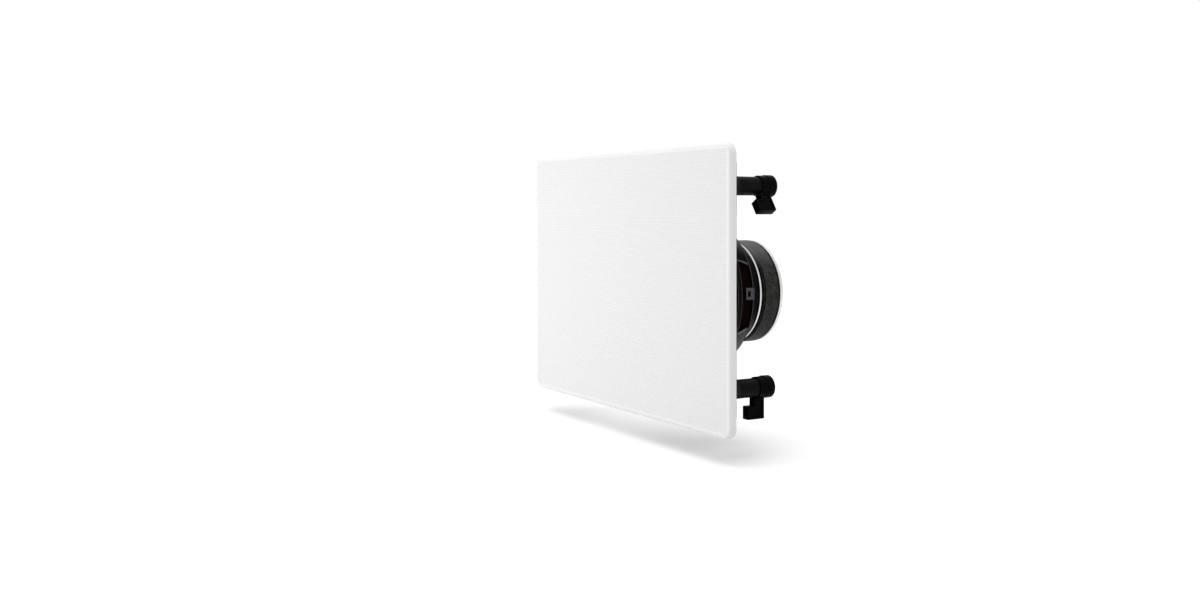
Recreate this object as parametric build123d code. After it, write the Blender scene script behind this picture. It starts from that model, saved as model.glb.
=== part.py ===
from build123d import *
import os
from math import cos, radians, sin, tan

# Two-way in-wall loudspeaker, lying landscape, in millimetres.
# The origin is the middle of the wall plane, where the back of the flange meets the wall.
# +X is to the right seen from the front, +Y goes into the wall and +Z is up.

# Panel and grille
panel_width = 304.0
panel_height = 216.0
panel_corner = 9.0
grille_stand = 6.0  # from the wall to the grille's front face
grille_sheet = 0.8
grille_edge = 2.5  # rounding of the pressed front edge
grille_fit = 0.3  # between the grille's rim and the frame's lip
scrim_margin = 13.0  # from the panel's edge to the cloth's edge
scrim_sheet = 0.3

# Frame moulding
flange_thickness = 1.5
flange_inset = 0.5  # the flange stops short of the grille's rim
flange_overlap = 9.0  # flange beyond the wall cut-out
cutout_play = 1.0  # between the cut-out and the frame's well
well_corner = 5.0
well_wall = 2.2
well_depth = 5.0  # from the wall plane to the baffle's front face
baffle_thickness = 2.5
lip_wall = 1.6
rib_thickness = 2.0
rib_height = 4.0
rib_angles = (90, 150, 180, 210, 270)  # round the woofer

# Holding magnets under the grille
disc_radius = 3.0
disc_thickness = 1.5
disc_wall = 1.2
disc_play = 0.1
disc_air = 0.2  # between a disc and the grille
disc_spread_x = 100.0
disc_spread_z = 45.0

# Clamp towers, screws and swing clamps
tower_inset_x = 10.5  # from the well's side to the tower's axis
tower_inset_z = 22.2  # from the well's top or bottom
tower_raise = 1.1  # of all four towers above the panel's middle
tower_root_radius = 7.2
tower_end_radius = 7.1
tower_length = 26.7  # from the baffle's back
gusset_reach = 4.5
gusset_height = 6.0
screw_radius = 2.0
screw_head_radius = 4.0
screw_head_height = 2.6
screw_tip = 2.4  # past the parked clamp
screw_slot_width = 1.2
screw_slot_depth = 1.2
screw_play = 0.3
head_recess = 1.4  # of the screw head below the baffle
sleeve_fit = 0.35  # between the clamp's sleeve and the tower
sleeve_wall = 0.5
sleeve_grip = 1.9  # of the parked sleeve over the tower's end
sleeve_length = 6.4
cap_radius = 8.5
cap_length = 6.9
cap_floor = 2.2
cap_edge = 0.5
clamp_thread_play = 0.05
arm_thickness = 6.7
arm_width = 9.2  # along the screw
arm_lead = 2.5  # of the arm's front before the sleeve's
arm_reach = 23.4  # from the screw's axis to the foot's end
foot_height = 10.0
foot_lead = 6.3  # of the foot's front before the arm's
pocket_depth = 0.9
pocket_margin = 1.8
clamp_edge = 0.6
upper_right_swing_angle = 33.0  # turned out from hanging straight down
upper_right_slack = 2.0  # parked further back along its screw

# Woofer, its depths counted from the baffle's front face
woofer_inset = 85.0  # from the well's right side to the axis
woofer_drop = 7.9  # of the axis below the panel's middle
basket_flange_radius = 80.5
basket_flange = 2.0
basket_wall = 2.0
basket_body_radius = 71.0
basket_body_depth = 9.0
basket_ring_radius = 70.0
basket_ring_depth = 15.5
basket_window_radius = 65.0
basket_window_depth = 23.0
basket_shoulder_radius = 56.0
basket_shoulder_depth = 40.7
basket_back_radius = 45.0
basket_back_depth = 54.0
basket_seat_radius = 41.0
basket_depth = 57.6
basket_eye = 18.0
basket_play = 1.5  # round the basket in the baffle
window_angle = 54.0
window_corner = 2.5
window_edge = 0.5  # left between a window and the bends before and behind it
ledge_radius = 47.5
ledge_thickness = 2.0
lug_width = 9.0
lug_length = 7.8
lug_root = 0.8  # behind the shoulder
lug_raise = 2.0  # above the axis
lug_thickness = 2.0
lug_hole_width = 4.4
lug_hole_length = 2.6
lug_hole_inset = 1.6  # from the lug's free end
surround_sheet = 0.6
surround_outer = 73.4
surround_roll = 5.2
surround_centre = 63.8
surround_inner = 55.5
gasket_inner = 70.0
gasket_height = 1.6
cone_sheet = 0.7
cone_outer = 58.4
cone_lip = 2.7
cone_neck_depth = 25.0
dust_cap_radius = 20.0
dust_cap_rise = 7.5
dust_cap_sheet = 0.5
coil_radius = 12.7
former_wall = 0.25
former_start = 22.0
former_length = 42.0
coil_length = 8.0
coil_build = 0.55
neck_glue = 0.15
spider_sheet = 0.6
spider_wave = 1.6
spider_waves = 4
spider_collar = 16.0
spider_skirt = 47.0
spider_outer = 52.5
top_plate_radius = 41.8
top_plate_bore = 14.2
top_plate_thickness = 3.0
top_plate_spigot = 2.0  # into the basket's eye
spigot_play = 0.3
magnet_radius = 41.8
magnet_bore = 21.0
magnet_thickness = 18.7
magnet_chamfer = 2.2
yoke_radius = 41.6
yoke_thickness = 3.0
yoke_chamfer = 0.4
pole_radius = 12.3
pole_vent = 4.5
pole_front_gap = 0.5  # of the pole before the top plate's spigot
collar_wall = 2.5
woofer_screw_circle_radius = 77.0
woofer_screw_radius = 1.6
woofer_screw_head = 3.2
woofer_screw_head_height = 2.2
woofer_screw_length = 10.0
fastener_play = 0.05
boss_wall = 2.0
tag_board_thickness = 1.6
tag_board_length = 12.0
tag_board_width = 18.0
tag_board_depth = 7.5
tag_thickness = 0.8
tag_width = 4.0
tag_spread = 5.0
tag_length = 12.0
tinsel_radius = 0.6

# Tweeter, its depths counted from the pivot
tweeter_inset = 70.0  # from the well's left side to the axis
pivot_depth = 3.0  # behind the baffle's front face
pod_radius = 26.0
pod_play = 0.6
pod_front = 5.0  # before the pivot
pod_back = 7.0
pod_lip = 1.2
pod_collar_wall = 3.9
pod_collar_front = 3.5  # before the baffle's front face
pod_collar_back = 9.0  # behind the baffle's front face
waveguide_throat = 14.2
skirt_radius = 21.5
skirt_wall = 2.0
skirt_back = 16.0
motor_play = 0.2
dome_radius = 12.7
dome_rise = 5.2
dome_sheet = 0.4
dome_seat = 1.2
dome_flange = 18.0
tweeter_plate_bore = 13.4
tweeter_plate_thickness = 3.0
tweeter_magnet_bore = 15.0
tweeter_magnet_thickness = 10.0
tweeter_back_thickness = 4.0
tweeter_pole = 12.2
tweeter_coil_wall = 0.4
tweeter_coil_length = 5.5
tweeter_coil_air = 0.3
pivot_pin_radius = 2.3
pivot_pin_play = 0.3
pivot_pin_length = 6.5

# Crossover
board_inset_x = 64.0  # from the well's left side to the board's middle
board_inset_z = 36.0  # from the well's top
board_width = 84.0
board_height = 46.0
board_thickness = 1.6
board_standoff = 5.0
standoff_radius = 3.2
board_hole_inset = 4.5
small_screw_radius = 1.4
small_screw_head = 2.8
small_screw_head_height = 1.8
small_screw_length = 6.0
inductor_offset = -22.0
bobbin_radius = 14.0
bobbin_core = 6.0
bobbin_height = 14.0
bobbin_flange = 1.5
winding_radius = 12.8
capacitor_radius = 5.5
capacitor_length = 24.0
capacitor_offset_x = 14.0
capacitor_rows = (11.0, -3.0)
resistor_length = 24.0
resistor_side = 8.0
resistor_inset_z = 8.0  # from the board's lower edge

# Input terminal
block_inset_x = 46.0  # from the well's left side to the block's middle
block_inset_z = 36.0  # from the well's bottom
block_width = 46.0
block_height = 24.0
block_depth = 14.0
block_edge = 1.2
block_screw_spread = 20.0
button_spread = 9.5
button_row = 5.0
button_width = 11.0
button_height = 8.0
button_stand = 5.0  # out of the block at rest
button_length = 11.0
button_travel = 3.0
button_play = 0.3
wire_hole_radius = 1.7
wire_hole_depth = 9.0
wire_row = -5.5

# Leads
lead_radius = 1.1
lead_gap = 3.4
tweeter_lead_shift = 9.0  # its start lies beside the resistor

# Places and depths shared by several pieces
baffle_front = well_depth
baffle_back = well_depth + baffle_thickness
pivot_y = baffle_front + pivot_depth
tower_end = baffle_back + tower_length
well_width = panel_width - 2 * (flange_overlap + cutout_play)
well_height = panel_height - 2 * (flange_overlap + cutout_play)
lip_front = grille_edge - grille_stand
disc_front = grille_sheet - grille_stand + disc_air
disc_boss_radius = disc_radius + disc_play + disc_wall
clamp_bore = tower_root_radius + sleeve_fit
sleeve_front = tower_end - sleeve_grip
cap_front = sleeve_front + sleeve_length
clamp_end = cap_front + cap_length
tower_x = well_width / 2 - tower_inset_x
tower_z = well_height / 2 - tower_inset_z
woofer_x = well_width / 2 - woofer_inset
woofer_z = -woofer_drop
tweeter_x = tweeter_inset - well_width / 2
tweeter_z = 0.0
board_x = board_inset_x - well_width / 2
board_z = well_height / 2 - board_inset_z
block_x = block_inset_x - well_width / 2
block_z = block_inset_z - well_height / 2
woofer_at = (woofer_x, woofer_z)
ledge_depth = basket_shoulder_depth  # the spider seats level with the shoulder
tweeter_at = (tweeter_x, tweeter_z)
towers = [(sx * tower_x, tower_raise + sz * tower_z) for sz in (1, -1) for sx in (1, -1)]


def slab(outline, front, back):
    """Extrude an outline, drawn as seen from the front, between two depths."""
    return extrude(Plane.XZ.offset(-front) * outline, amount=front - back)


def turned(*points, at=(0, 0), depth=0, arc=360):
    """Turn a closed section of (radius, depth) points about an axis into the wall."""
    section = make_face(Polyline(*points, close=True))
    return Pos(at[0], depth, at[1]) * revolve(section, Axis.Y, revolution_arc=arc)


def rod(radius, front, back, at=(0, 0)):
    """A round bar into the wall."""
    return turned((0, front), (radius, front), (radius, back), (0, back), at=at)


def tube(inner, outer, front, back, at=(0, 0)):
    """A round sleeve into the wall."""
    return turned((inner, front), (outer, front), (outer, back), (inner, back), at=at)


def block(x0, x1, y0, y1, z0, z1):
    """A box between its corner coordinates."""
    box = Box(x1 - x0, y1 - y0, z1 - z0)
    return Pos((x0 + x1) / 2, (y0 + y1) / 2, (z0 + z1) / 2) * box


def inset_panel(inset, front, back):
    """A slab of the panel's outline, drawn in by an inset."""
    outline = RectangleRounded(panel_width - 2 * inset, panel_height - 2 * inset, panel_corner - inset)
    return slab(outline, front, back)


def well_block(wall, front, back):
    """A slab of the well's outline, drawn in by a wall."""
    outline = RectangleRounded(well_width - 2 * wall, well_height - 2 * wall, well_corner - wall)
    return slab(outline, front, back)


def polar(at, radius, angle):
    """A point round a centre, seen from the front."""
    return (at[0] + radius * cos(radians(angle)), at[1] + radius * sin(radians(angle)))


def corner_points(at, width, height, inset):
    """The four points in from the corners of a rectangle."""
    return [
        (at[0] + sx * (width / 2 - inset), at[1] + sz * (height / 2 - inset))
        for sx in (1, -1)
        for sz in (1, -1)
    ]


def lead(points, radius):
    """A wire along straight runs joined by the largest tangent arcs they allow."""
    runs = [Vector(*b) - Vector(*a) for a, b in zip(points, points[1:])]
    radii = [
        0.45 * min(a.length, b.length) / tan(radians(a.get_angle(b)) / 2) for a, b in zip(runs, runs[1:])
    ]
    path = FilletPolyline(*points, radius=radii)
    return sweep((path ^ 0) * Circle(radius), path=path)


def grille():
    """The pressed pan: a flat front, a rounded edge and a short rim."""
    front = -grille_stand
    pan = inset_panel(0, front, -flange_thickness)
    pan = fillet(pan.faces().sort_by(Axis.Y)[0].edges(), grille_edge)
    hollow = inset_panel(grille_sheet, front + grille_sheet, -flange_thickness)
    hollow = fillet(hollow.faces().sort_by(Axis.Y)[0].edges(), grille_edge - grille_sheet)
    return pan - hollow


def grille_scrim():
    """The cloth behind the perforated front."""
    front = grille_sheet - grille_stand
    cloth = Rectangle(panel_width - 2 * scrim_margin, panel_height - 2 * scrim_margin)
    return slab(cloth, front, front + scrim_sheet)


def disc_places():
    """Where the holding magnets sit, midway between the lip and the well."""
    lip_inset = grille_sheet + grille_fit + lip_wall
    well_inset = flange_overlap + cutout_play + well_wall
    inset = (lip_inset + well_inset) / 2
    side_x = panel_width / 2 - inset
    side_z = panel_height / 2 - inset
    rows = [(x, sz * side_z) for x in (-disc_spread_x, 0, disc_spread_x) for sz in (1, -1)]
    return rows + [(sx * side_x, z) for z in (-disc_spread_z, disc_spread_z) for sx in (1, -1)]


def grille_magnets():
    """The discs that hold the grille."""
    return Compound([rod(disc_radius, disc_front, disc_front + disc_thickness, p) for p in disc_places()])


def woofer_screw_places():
    """Where the woofer is screwed to the baffle."""
    return [polar(woofer_at, woofer_screw_circle_radius, 45 + 90 * k) for k in range(4)]


def block_screw_places():
    """Where the input terminal is screwed to the baffle."""
    return [(block_x + sx * block_screw_spread, block_z) for sx in (1, -1)]


def board_screw_places():
    """Where the crossover board is screwed to its standoffs."""
    return corner_points((board_x, board_z), board_width, board_height, board_hole_inset)


def frame_tower(at):
    """A tapered clamp tower with its gussets on the baffle's back."""
    post = turned(
        (0, baffle_front),
        (tower_root_radius, baffle_front),
        (tower_end_radius, tower_end),
        (0, tower_end),
        at=at,
    )
    reach = tower_root_radius + gusset_reach
    inward = -1 if at[0] > 0 else 1
    fin_top = baffle_back + gusset_height
    fin = make_face(Polyline((0, baffle_back), (inward * reach, baffle_back), (0, fin_top), close=True))
    fin = Pos(at[0], 0, at[1]) * extrude(fin, amount=rib_thickness / 2, both=True)
    return post + fin


def frame_ribs():
    """Stiffening ribs out from the woofer's collar to the well's walls."""
    start = basket_body_radius + basket_play
    ribs = Part()
    for angle in rib_angles:
        bar = block(
            start, panel_width, baffle_back, baffle_back + rib_height, -rib_thickness / 2, rib_thickness / 2
        )
        ribs += Pos(woofer_x, 0, woofer_z) * Rot(0, -angle, 0) * bar
    keep_out = rod(pod_radius + pod_play, 0, tower_end, tweeter_at)
    return (ribs & well_block(0, baffle_back, baffle_back + rib_height)) - keep_out


def frame_bosses():
    """Bosses for the holding magnets, the woofer's screws and the crossover board."""
    bosses = Part()
    for at in disc_places():
        bosses += rod(disc_boss_radius, disc_front, -flange_thickness, at)
    for at in woofer_screw_places():
        back = baffle_front + woofer_screw_length - basket_flange
        bosses += rod(woofer_screw_radius + boss_wall, baffle_front, back, at)
    for at in board_screw_places():
        bosses += rod(standoff_radius, baffle_back, baffle_back + board_standoff, at)
    return bosses


def frame_holes():
    """The drivers' openings, the magnets' pockets and every screw hole."""
    woofer_hole = basket_body_radius + basket_play
    holes = rod(woofer_hole, lip_front, tower_end, woofer_at)
    holes += rod(pod_radius + pod_play, lip_front, tower_end, tweeter_at)
    for at in towers:
        holes += rod(screw_radius + screw_play, baffle_front, tower_end, at)
        seat = baffle_front + head_recess + screw_head_height
        holes += rod(screw_head_radius + screw_play, baffle_front, seat, at)
    for at in disc_places():
        holes += rod(disc_radius + disc_play, disc_front, disc_front + disc_thickness, at)
    for at in woofer_screw_places():
        holes += rod(woofer_screw_radius + fastener_play, baffle_front, tower_end, at)
    for at in board_screw_places():
        holes += rod(small_screw_radius + fastener_play, baffle_back, tower_end, at)
    for at in block_screw_places():
        holes += rod(small_screw_radius + fastener_play, baffle_front, tower_end, at)
    pin_hole = Cylinder(pivot_pin_radius + pivot_pin_play, 2 * (pod_radius + pod_play + pod_collar_wall))
    return holes + Pos(tweeter_x, pivot_y, tweeter_z) * pin_hole


def frame():
    """The moulding: flange, lip, well, baffle, driver collars, towers, ribs and bosses."""
    body = inset_panel(flange_inset, -flange_thickness, 0) + well_block(0, -flange_thickness, baffle_back)
    body -= well_block(well_wall, -flange_thickness, baffle_front)
    lip_inset = grille_sheet + grille_fit
    lip = inset_panel(lip_inset, lip_front, -flange_thickness)
    body += lip - inset_panel(lip_inset + lip_wall, lip_front, -flange_thickness)
    woofer_hole = basket_body_radius + basket_play
    body += tube(woofer_hole, woofer_hole + collar_wall, baffle_back, baffle_back + rib_height, woofer_at)
    pod_hole = pod_radius + pod_play
    collar_front = baffle_front - pod_collar_front
    collar_back = baffle_front + pod_collar_back
    body += tube(pod_hole, pod_hole + pod_collar_wall, collar_front, collar_back, tweeter_at)
    body += frame_ribs() + frame_bosses()
    for at in towers:
        body += frame_tower(at)
    return body - frame_holes()


def clamp_screw(at):
    """A long slotted screw that reaches from the baffle through its tower."""
    head_front = baffle_front + head_recess
    seat = head_front + screw_head_height
    screw = rod(screw_head_radius, head_front, seat) + rod(screw_radius, seat, clamp_end + screw_tip)
    slot = block(
        -screw_head_radius,
        screw_head_radius,
        head_front,
        head_front + screw_slot_depth,
        -screw_slot_width / 2,
        screw_slot_width / 2,
    )
    return Pos(at[0], 0, at[1]) * (screw - slot - Rot(0, 90, 0) * slot)


def clamp_leg():
    """The clamp's arm and its foot, with a shallow pocket in each side."""
    half = arm_thickness / 2
    arm_front = sleeve_front - arm_lead
    arm_back = arm_front + arm_width
    foot_front = arm_front - foot_lead
    leg = block(-half, half, arm_front, arm_back, -arm_reach, 0)
    leg += block(-half, half, foot_front, arm_back, -arm_reach, foot_height - arm_reach)
    leg = chamfer(leg.edges().filter_by(Axis.X), clamp_edge)
    for side in (1, -1):
        outer = side * half
        pocket = block(
            min(outer, outer - side * pocket_depth),
            max(outer, outer - side * pocket_depth),
            arm_front + pocket_margin,
            arm_back - pocket_margin,
            pocket_margin - arm_reach,
            -clamp_bore - pocket_margin,
        )
        leg -= pocket
    return leg


def clamp(at, swing, slack):
    """A swing clamp on the end of its tower, turned from hanging straight down and slackened."""
    hub = rod(clamp_bore + sleeve_wall, sleeve_front, cap_front)
    cap = rod(cap_radius, cap_front, clamp_end)
    hub += fillet(cap.faces().sort_by(Axis.Y)[-1].edges(), cap_edge)
    body = hub + clamp_leg()
    body -= rod(clamp_bore, 0, clamp_end - cap_floor)
    body -= rod(screw_radius + clamp_thread_play, 0, clamp_end)
    return Pos(at[0], slack, at[1]) * Rot(0, swing, 0) * body


def basket_outer():
    """The basket's outside, from the flange's rim to the eye, as (radius, depth) points."""
    return [
        (basket_flange_radius, -basket_flange),
        (basket_flange_radius, 0),
        (basket_body_radius, 0),
        (basket_body_radius, basket_body_depth),
        (basket_ring_radius, basket_ring_depth),
        (basket_window_radius, basket_window_depth),
        (basket_shoulder_radius, basket_shoulder_depth),
        (basket_back_radius, basket_back_depth),
        (basket_seat_radius, basket_depth),
        (basket_eye, basket_depth),
    ]


def basket_inner():
    """The basket's inside, from the eye round the spider's ledge to the flange."""
    wall = basket_wall
    slope = (basket_shoulder_radius - basket_back_radius) / (basket_back_depth - basket_shoulder_depth)
    ledge_back = ledge_depth + ledge_thickness
    return [
        (basket_eye, basket_depth - wall),
        (basket_seat_radius - wall / 2, basket_depth - wall),
        (basket_back_radius - wall, basket_back_depth - wall / 2),
        (basket_shoulder_radius - wall - slope * ledge_thickness, ledge_back),
        (ledge_radius, ledge_back),
        (ledge_radius, ledge_depth),
        (basket_shoulder_radius - wall, ledge_depth),
        (basket_window_radius - wall, basket_window_depth),
        (basket_ring_radius - wall, basket_ring_depth),
        (basket_body_radius - wall, basket_body_depth),
        (basket_body_radius - wall, -basket_flange),
    ]


def woofer_basket():
    """The pressed basket with four windows between spokes and a lug with a square hole."""
    basket = turned(*basket_outer(), *basket_inner())
    front = basket_window_depth + window_edge
    back = basket_shoulder_depth - window_edge
    window = turned(
        (ledge_radius, front),
        (basket_flange_radius, front),
        (basket_flange_radius, back),
        (ledge_radius, back),
        arc=window_angle,
    )
    ends = window.edges().filter_by(GeomType.LINE).filter_by(lambda edge: abs(edge.tangent_at(0).Y) < 0.5)
    window = fillet(ends, window_corner)
    for k in range(4):
        basket -= Rot(0, 90 * k - window_angle / 2, 0) * window
    lug_back = basket_shoulder_depth + lug_root
    lug_front = lug_back - lug_length
    hole_front = lug_front + lug_hole_inset
    inner, outer = basket_shoulder_radius - lug_thickness, basket_shoulder_radius
    lug = block(inner, outer, lug_front, lug_back, -lug_width / 2, lug_width / 2)
    lug -= block(
        inner, outer, hole_front, hole_front + lug_hole_length, -lug_hole_width / 2, lug_hole_width / 2
    )
    basket += Pos(0, 0, lug_raise) * lug
    for at in [polar((0, 0), woofer_screw_circle_radius, 45 + 90 * k) for k in range(4)]:
        basket -= rod(woofer_screw_radius + fastener_play, -basket_flange, 0, at)
    return Pos(woofer_x, baffle_front, woofer_z) * basket


def woofer_surround():
    """The half-roll rubber edge between the basket's flange and the cone."""
    back = -basket_flange
    front = back - surround_sheet
    roll_out = surround_centre + surround_roll
    roll_in = surround_centre - surround_roll
    under_in = roll_in + surround_sheet
    under_out = roll_out - surround_sheet
    section = make_face(
        Polyline((roll_in, front), (surround_inner, front), (surround_inner, back), (under_in, back))
        + ThreePointArc((under_in, back), (surround_centre, back - surround_roll), (under_out, back))
        + Polyline((under_out, back), (surround_outer, back), (surround_outer, front), (roll_out, front))
        + ThreePointArc((roll_out, front), (surround_centre, front - surround_roll), (roll_in, front))
    )
    return Pos(woofer_x, baffle_front, woofer_z) * revolve(section, Axis.Y)


def woofer_gasket():
    """The ring that clamps the surround's edge."""
    seat = baffle_front - basket_flange - surround_sheet
    return tube(gasket_inner, surround_outer, seat - gasket_height, seat, woofer_at)


def cone_front(radius):
    """Depth of the cone's front face at a radius."""
    share = (cone_outer - cone_lip - radius) / (cone_outer - cone_lip - cone_neck_radius())
    return -basket_flange + share * (cone_neck_depth + basket_flange)


def cone_neck_radius():
    """Inner radius of the cone's neck round the coil former."""
    return coil_radius + former_wall + neck_glue


def woofer_cone():
    """The straight-sided cone with a flat glue lip."""
    lip = -basket_flange
    neck = cone_neck_radius()
    edge = cone_outer - cone_lip
    return turned(
        (cone_outer, lip),
        (edge, lip),
        (neck, cone_neck_depth),
        (neck, cone_neck_depth + cone_sheet),
        (edge, lip + cone_sheet),
        (cone_outer, lip + cone_sheet),
        at=woofer_at,
        depth=baffle_front,
    )


def cap_section(radius, rise, sheet, edge):
    """Half of a thin spherical cap that ends on an edge depth."""
    ball = (radius**2 + rise**2) / (2 * rise)
    crown = edge - rise
    middle_r = radius / 2
    middle_y = crown + ball - (ball**2 - middle_r**2) ** 0.5
    return make_face(
        ThreePointArc((0, crown), (middle_r, middle_y), (radius, edge))
        + Line((radius, edge), (radius, edge + sheet))
        + ThreePointArc((radius, edge + sheet), (middle_r, middle_y + sheet), (0, crown + sheet))
        + Line((0, crown + sheet), (0, crown))
    )


def woofer_dust_cap():
    """The domed cap glued on the cone."""
    edge = cone_front(dust_cap_radius) - dust_cap_sheet - fastener_play
    section = cap_section(dust_cap_radius, dust_cap_rise, dust_cap_sheet, edge)
    return Pos(woofer_x, baffle_front, woofer_z) * revolve(section, Axis.Y)


def coil_former():
    """The thin tube that joins the cone to the voice coil."""
    front = baffle_front + former_start
    return tube(coil_radius, coil_radius + former_wall, front, front + former_length, woofer_at)


def voice_coil():
    """The winding at the former's back end."""
    back = baffle_front + former_start + former_length
    inner = coil_radius + former_wall
    return tube(inner, inner + coil_build, back - coil_length, back, woofer_at)


def spider():
    """The corrugated cloth that centres the coil."""
    back = ledge_depth
    crests = 2 * spider_waves
    step = (spider_skirt - spider_collar) / crests
    line = [(cone_neck_radius(), back), (spider_collar, back)]
    line += [(spider_collar + step * (k + 0.5), back + spider_wave * (-1) ** k) for k in range(crests)]
    line += [(spider_skirt, back), (spider_outer, back)]
    front = [(r, y - spider_sheet) for r, y in reversed(line)]
    return turned(*line, *front, at=woofer_at, depth=baffle_front)


def top_plate():
    """The zinc-plated front plate of the magnet system, with its spigot in the basket's eye."""
    front = baffle_front + basket_depth
    plate = tube(top_plate_bore, top_plate_radius, front, front + top_plate_thickness, woofer_at)
    return plate + tube(top_plate_bore, basket_eye - spigot_play, front - top_plate_spigot, front, woofer_at)


def ferrite_magnet():
    """The ring magnet with broken edges."""
    front = baffle_front + basket_depth + top_plate_thickness
    ring = tube(magnet_bore, magnet_radius, front, front + magnet_thickness, woofer_at)
    rims = ring.edges().filter_by(GeomType.CIRCLE).group_by(SortBy.RADIUS)[-1]
    return chamfer(rims, magnet_chamfer)


def pole_yoke():
    """The back plate and pole in one turned piece, vented through the pole."""
    pole_front = basket_depth - top_plate_spigot - pole_front_gap
    plate = basket_depth + top_plate_thickness + magnet_thickness
    back = plate + yoke_thickness
    return turned(
        (pole_vent, pole_front),
        (pole_radius, pole_front),
        (pole_radius, plate),
        (yoke_radius, plate),
        (yoke_radius, back - yoke_chamfer),
        (yoke_radius - yoke_chamfer, back),
        (pole_vent, back),
        at=woofer_at,
        depth=baffle_front,
    )


def tag_board_back():
    """The X of the tag board's outer face, on the basket's left side."""
    return woofer_x - basket_body_radius - tag_board_thickness


def woofer_tag_board():
    """The small insulating board that stands on the basket's side."""
    outer = tag_board_back()
    front = baffle_front + tag_board_depth
    return block(
        outer,
        outer + tag_board_thickness,
        front,
        front + tag_board_length,
        woofer_z - tag_board_width / 2,
        woofer_z + tag_board_width / 2,
    )


def woofer_tags():
    """The two solder tags on the tag board."""
    outer = tag_board_back()
    front = baffle_front + tag_board_depth + tag_board_length / 2
    tags = []
    for side in (1, -1):
        z = woofer_z + side * tag_spread - tag_width / 2
        tags.append(block(outer - tag_thickness, outer, front, front + tag_length, z, z + tag_width))
    return Compound(tags)


def tinsel_leads():
    """The limp braids from the tags through the window to the cone's back."""
    tag_y = baffle_front + tag_board_depth + tag_board_length / 2 + tag_length - tinsel_radius
    tag_x = tag_board_back() + tinsel_radius
    landing = cone_outer * 0.6
    cone_y = baffle_front + cone_front(landing) + cone_sheet + 2 * tinsel_radius
    window_y = baffle_front + (basket_window_depth + basket_shoulder_depth) / 2
    braids = []
    for side in (1, -1):
        z = woofer_z + side * tag_spread
        route = [
            (tag_x, tag_y, z),
            (woofer_x - basket_window_radius, window_y, z + side),
            (woofer_x - basket_shoulder_radius, window_y, z + 2 * side),
            (woofer_x - landing, cone_y, z),
        ]
        braids.append(lead(route, tinsel_radius))
    return Compound(braids)


def pan_screw(at, radius, head_radius, head_height, seat, length, side):
    """A pan-head screw whose head lies before (-1) or behind (1) its seat."""
    head = rod(head_radius, min(seat, seat + side * head_height), max(seat, seat + side * head_height), at)
    return head + rod(radius, min(seat, seat - side * length), max(seat, seat - side * length), at)


def woofer_screws():
    """The four screws through the basket's flange."""
    seat = baffle_front - basket_flange
    return Compound(
        [
            pan_screw(
                at,
                woofer_screw_radius,
                woofer_screw_head,
                woofer_screw_head_height,
                seat,
                woofer_screw_length,
                -1,
            )
            for at in woofer_screw_places()
        ]
    )


def pod_edge(depth):
    """Radius of the pod's ball at a depth from the pivot."""
    return (pod_radius**2 - depth**2) ** 0.5


def tweeter_pod():
    """The ball-sided housing with a short waveguide in front and a skirt for the motor."""
    rim = pod_edge(pod_front)
    heel = pod_edge(pod_back)
    skirt_bore = skirt_radius - skirt_wall
    throat = waveguide_throat
    section = make_face(
        Polyline((rim, -pod_front), (rim - pod_lip, -pod_front), (throat, 0), (throat, dome_seat))
        + Polyline((throat, dome_seat), (skirt_bore, dome_seat), (skirt_bore, skirt_back))
        + Polyline((skirt_bore, skirt_back), (skirt_radius, skirt_back), (skirt_radius, pod_back))
        + Line((skirt_radius, pod_back), (heel, pod_back))
        + ThreePointArc((heel, pod_back), (pod_radius, 0), (rim, -pod_front))
    )
    pod = revolve(section, Axis.Y)
    pod -= Cylinder(pivot_pin_radius, 2 * pod_radius) & tube(skirt_radius, pod_radius, -pod_front, pod_back)
    return Pos(tweeter_x, pivot_y, tweeter_z) * pod


def tweeter_pins():
    """The two pins that the pod turns on, one above and one below."""
    outer = pod_radius + pod_play + pod_collar_wall
    pin = Cylinder(pivot_pin_radius, pivot_pin_length)
    reach = outer - pivot_pin_length / 2
    return Compound([Pos(tweeter_x, pivot_y, tweeter_z + side * reach) * pin for side in (1, -1)])


def tweeter_dome():
    """The soft dome with its flat glue ring."""
    cap = revolve(cap_section(dome_radius, dome_rise, dome_sheet, dome_seat), Axis.Y)
    ring = tube(dome_radius, dome_flange, dome_seat, dome_seat + dome_sheet)
    return Pos(tweeter_x, pivot_y, tweeter_z) * (cap + ring)


def tweeter_motor_radius():
    """Outer radius of the tweeter's plate, magnet and yoke inside the skirt."""
    return skirt_radius - skirt_wall - motor_play


def tweeter_plate_front():
    """Depth of the tweeter's plate behind the pivot."""
    return dome_seat + dome_sheet


def tweeter_plate():
    """The ring plate behind the dome's flange."""
    front = pivot_y + tweeter_plate_front()
    back = front + tweeter_plate_thickness
    return tube(tweeter_plate_bore, tweeter_motor_radius(), front, back, tweeter_at)


def tweeter_magnet():
    """The tweeter's ring magnet."""
    front = pivot_y + tweeter_plate_front() + tweeter_plate_thickness
    back = front + tweeter_magnet_thickness
    return tube(tweeter_magnet_bore, tweeter_motor_radius(), front, back, tweeter_at)


def tweeter_yoke():
    """The tweeter's back plate and pole."""
    front = tweeter_plate_front() + dome_sheet
    plate = tweeter_plate_front() + tweeter_plate_thickness + tweeter_magnet_thickness
    back = plate + tweeter_back_thickness
    return turned(
        (0, front),
        (tweeter_pole, front),
        (tweeter_pole, plate),
        (tweeter_motor_radius(), plate),
        (tweeter_motor_radius(), back),
        (0, back),
        at=tweeter_at,
        depth=pivot_y,
    )


def tweeter_coil():
    """The tweeter's voice coil, hung from the dome in the gap."""
    front = pivot_y + tweeter_plate_front()
    inner = tweeter_pole + tweeter_coil_air
    return tube(inner, inner + tweeter_coil_wall, front, front + tweeter_coil_length, tweeter_at)


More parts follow.
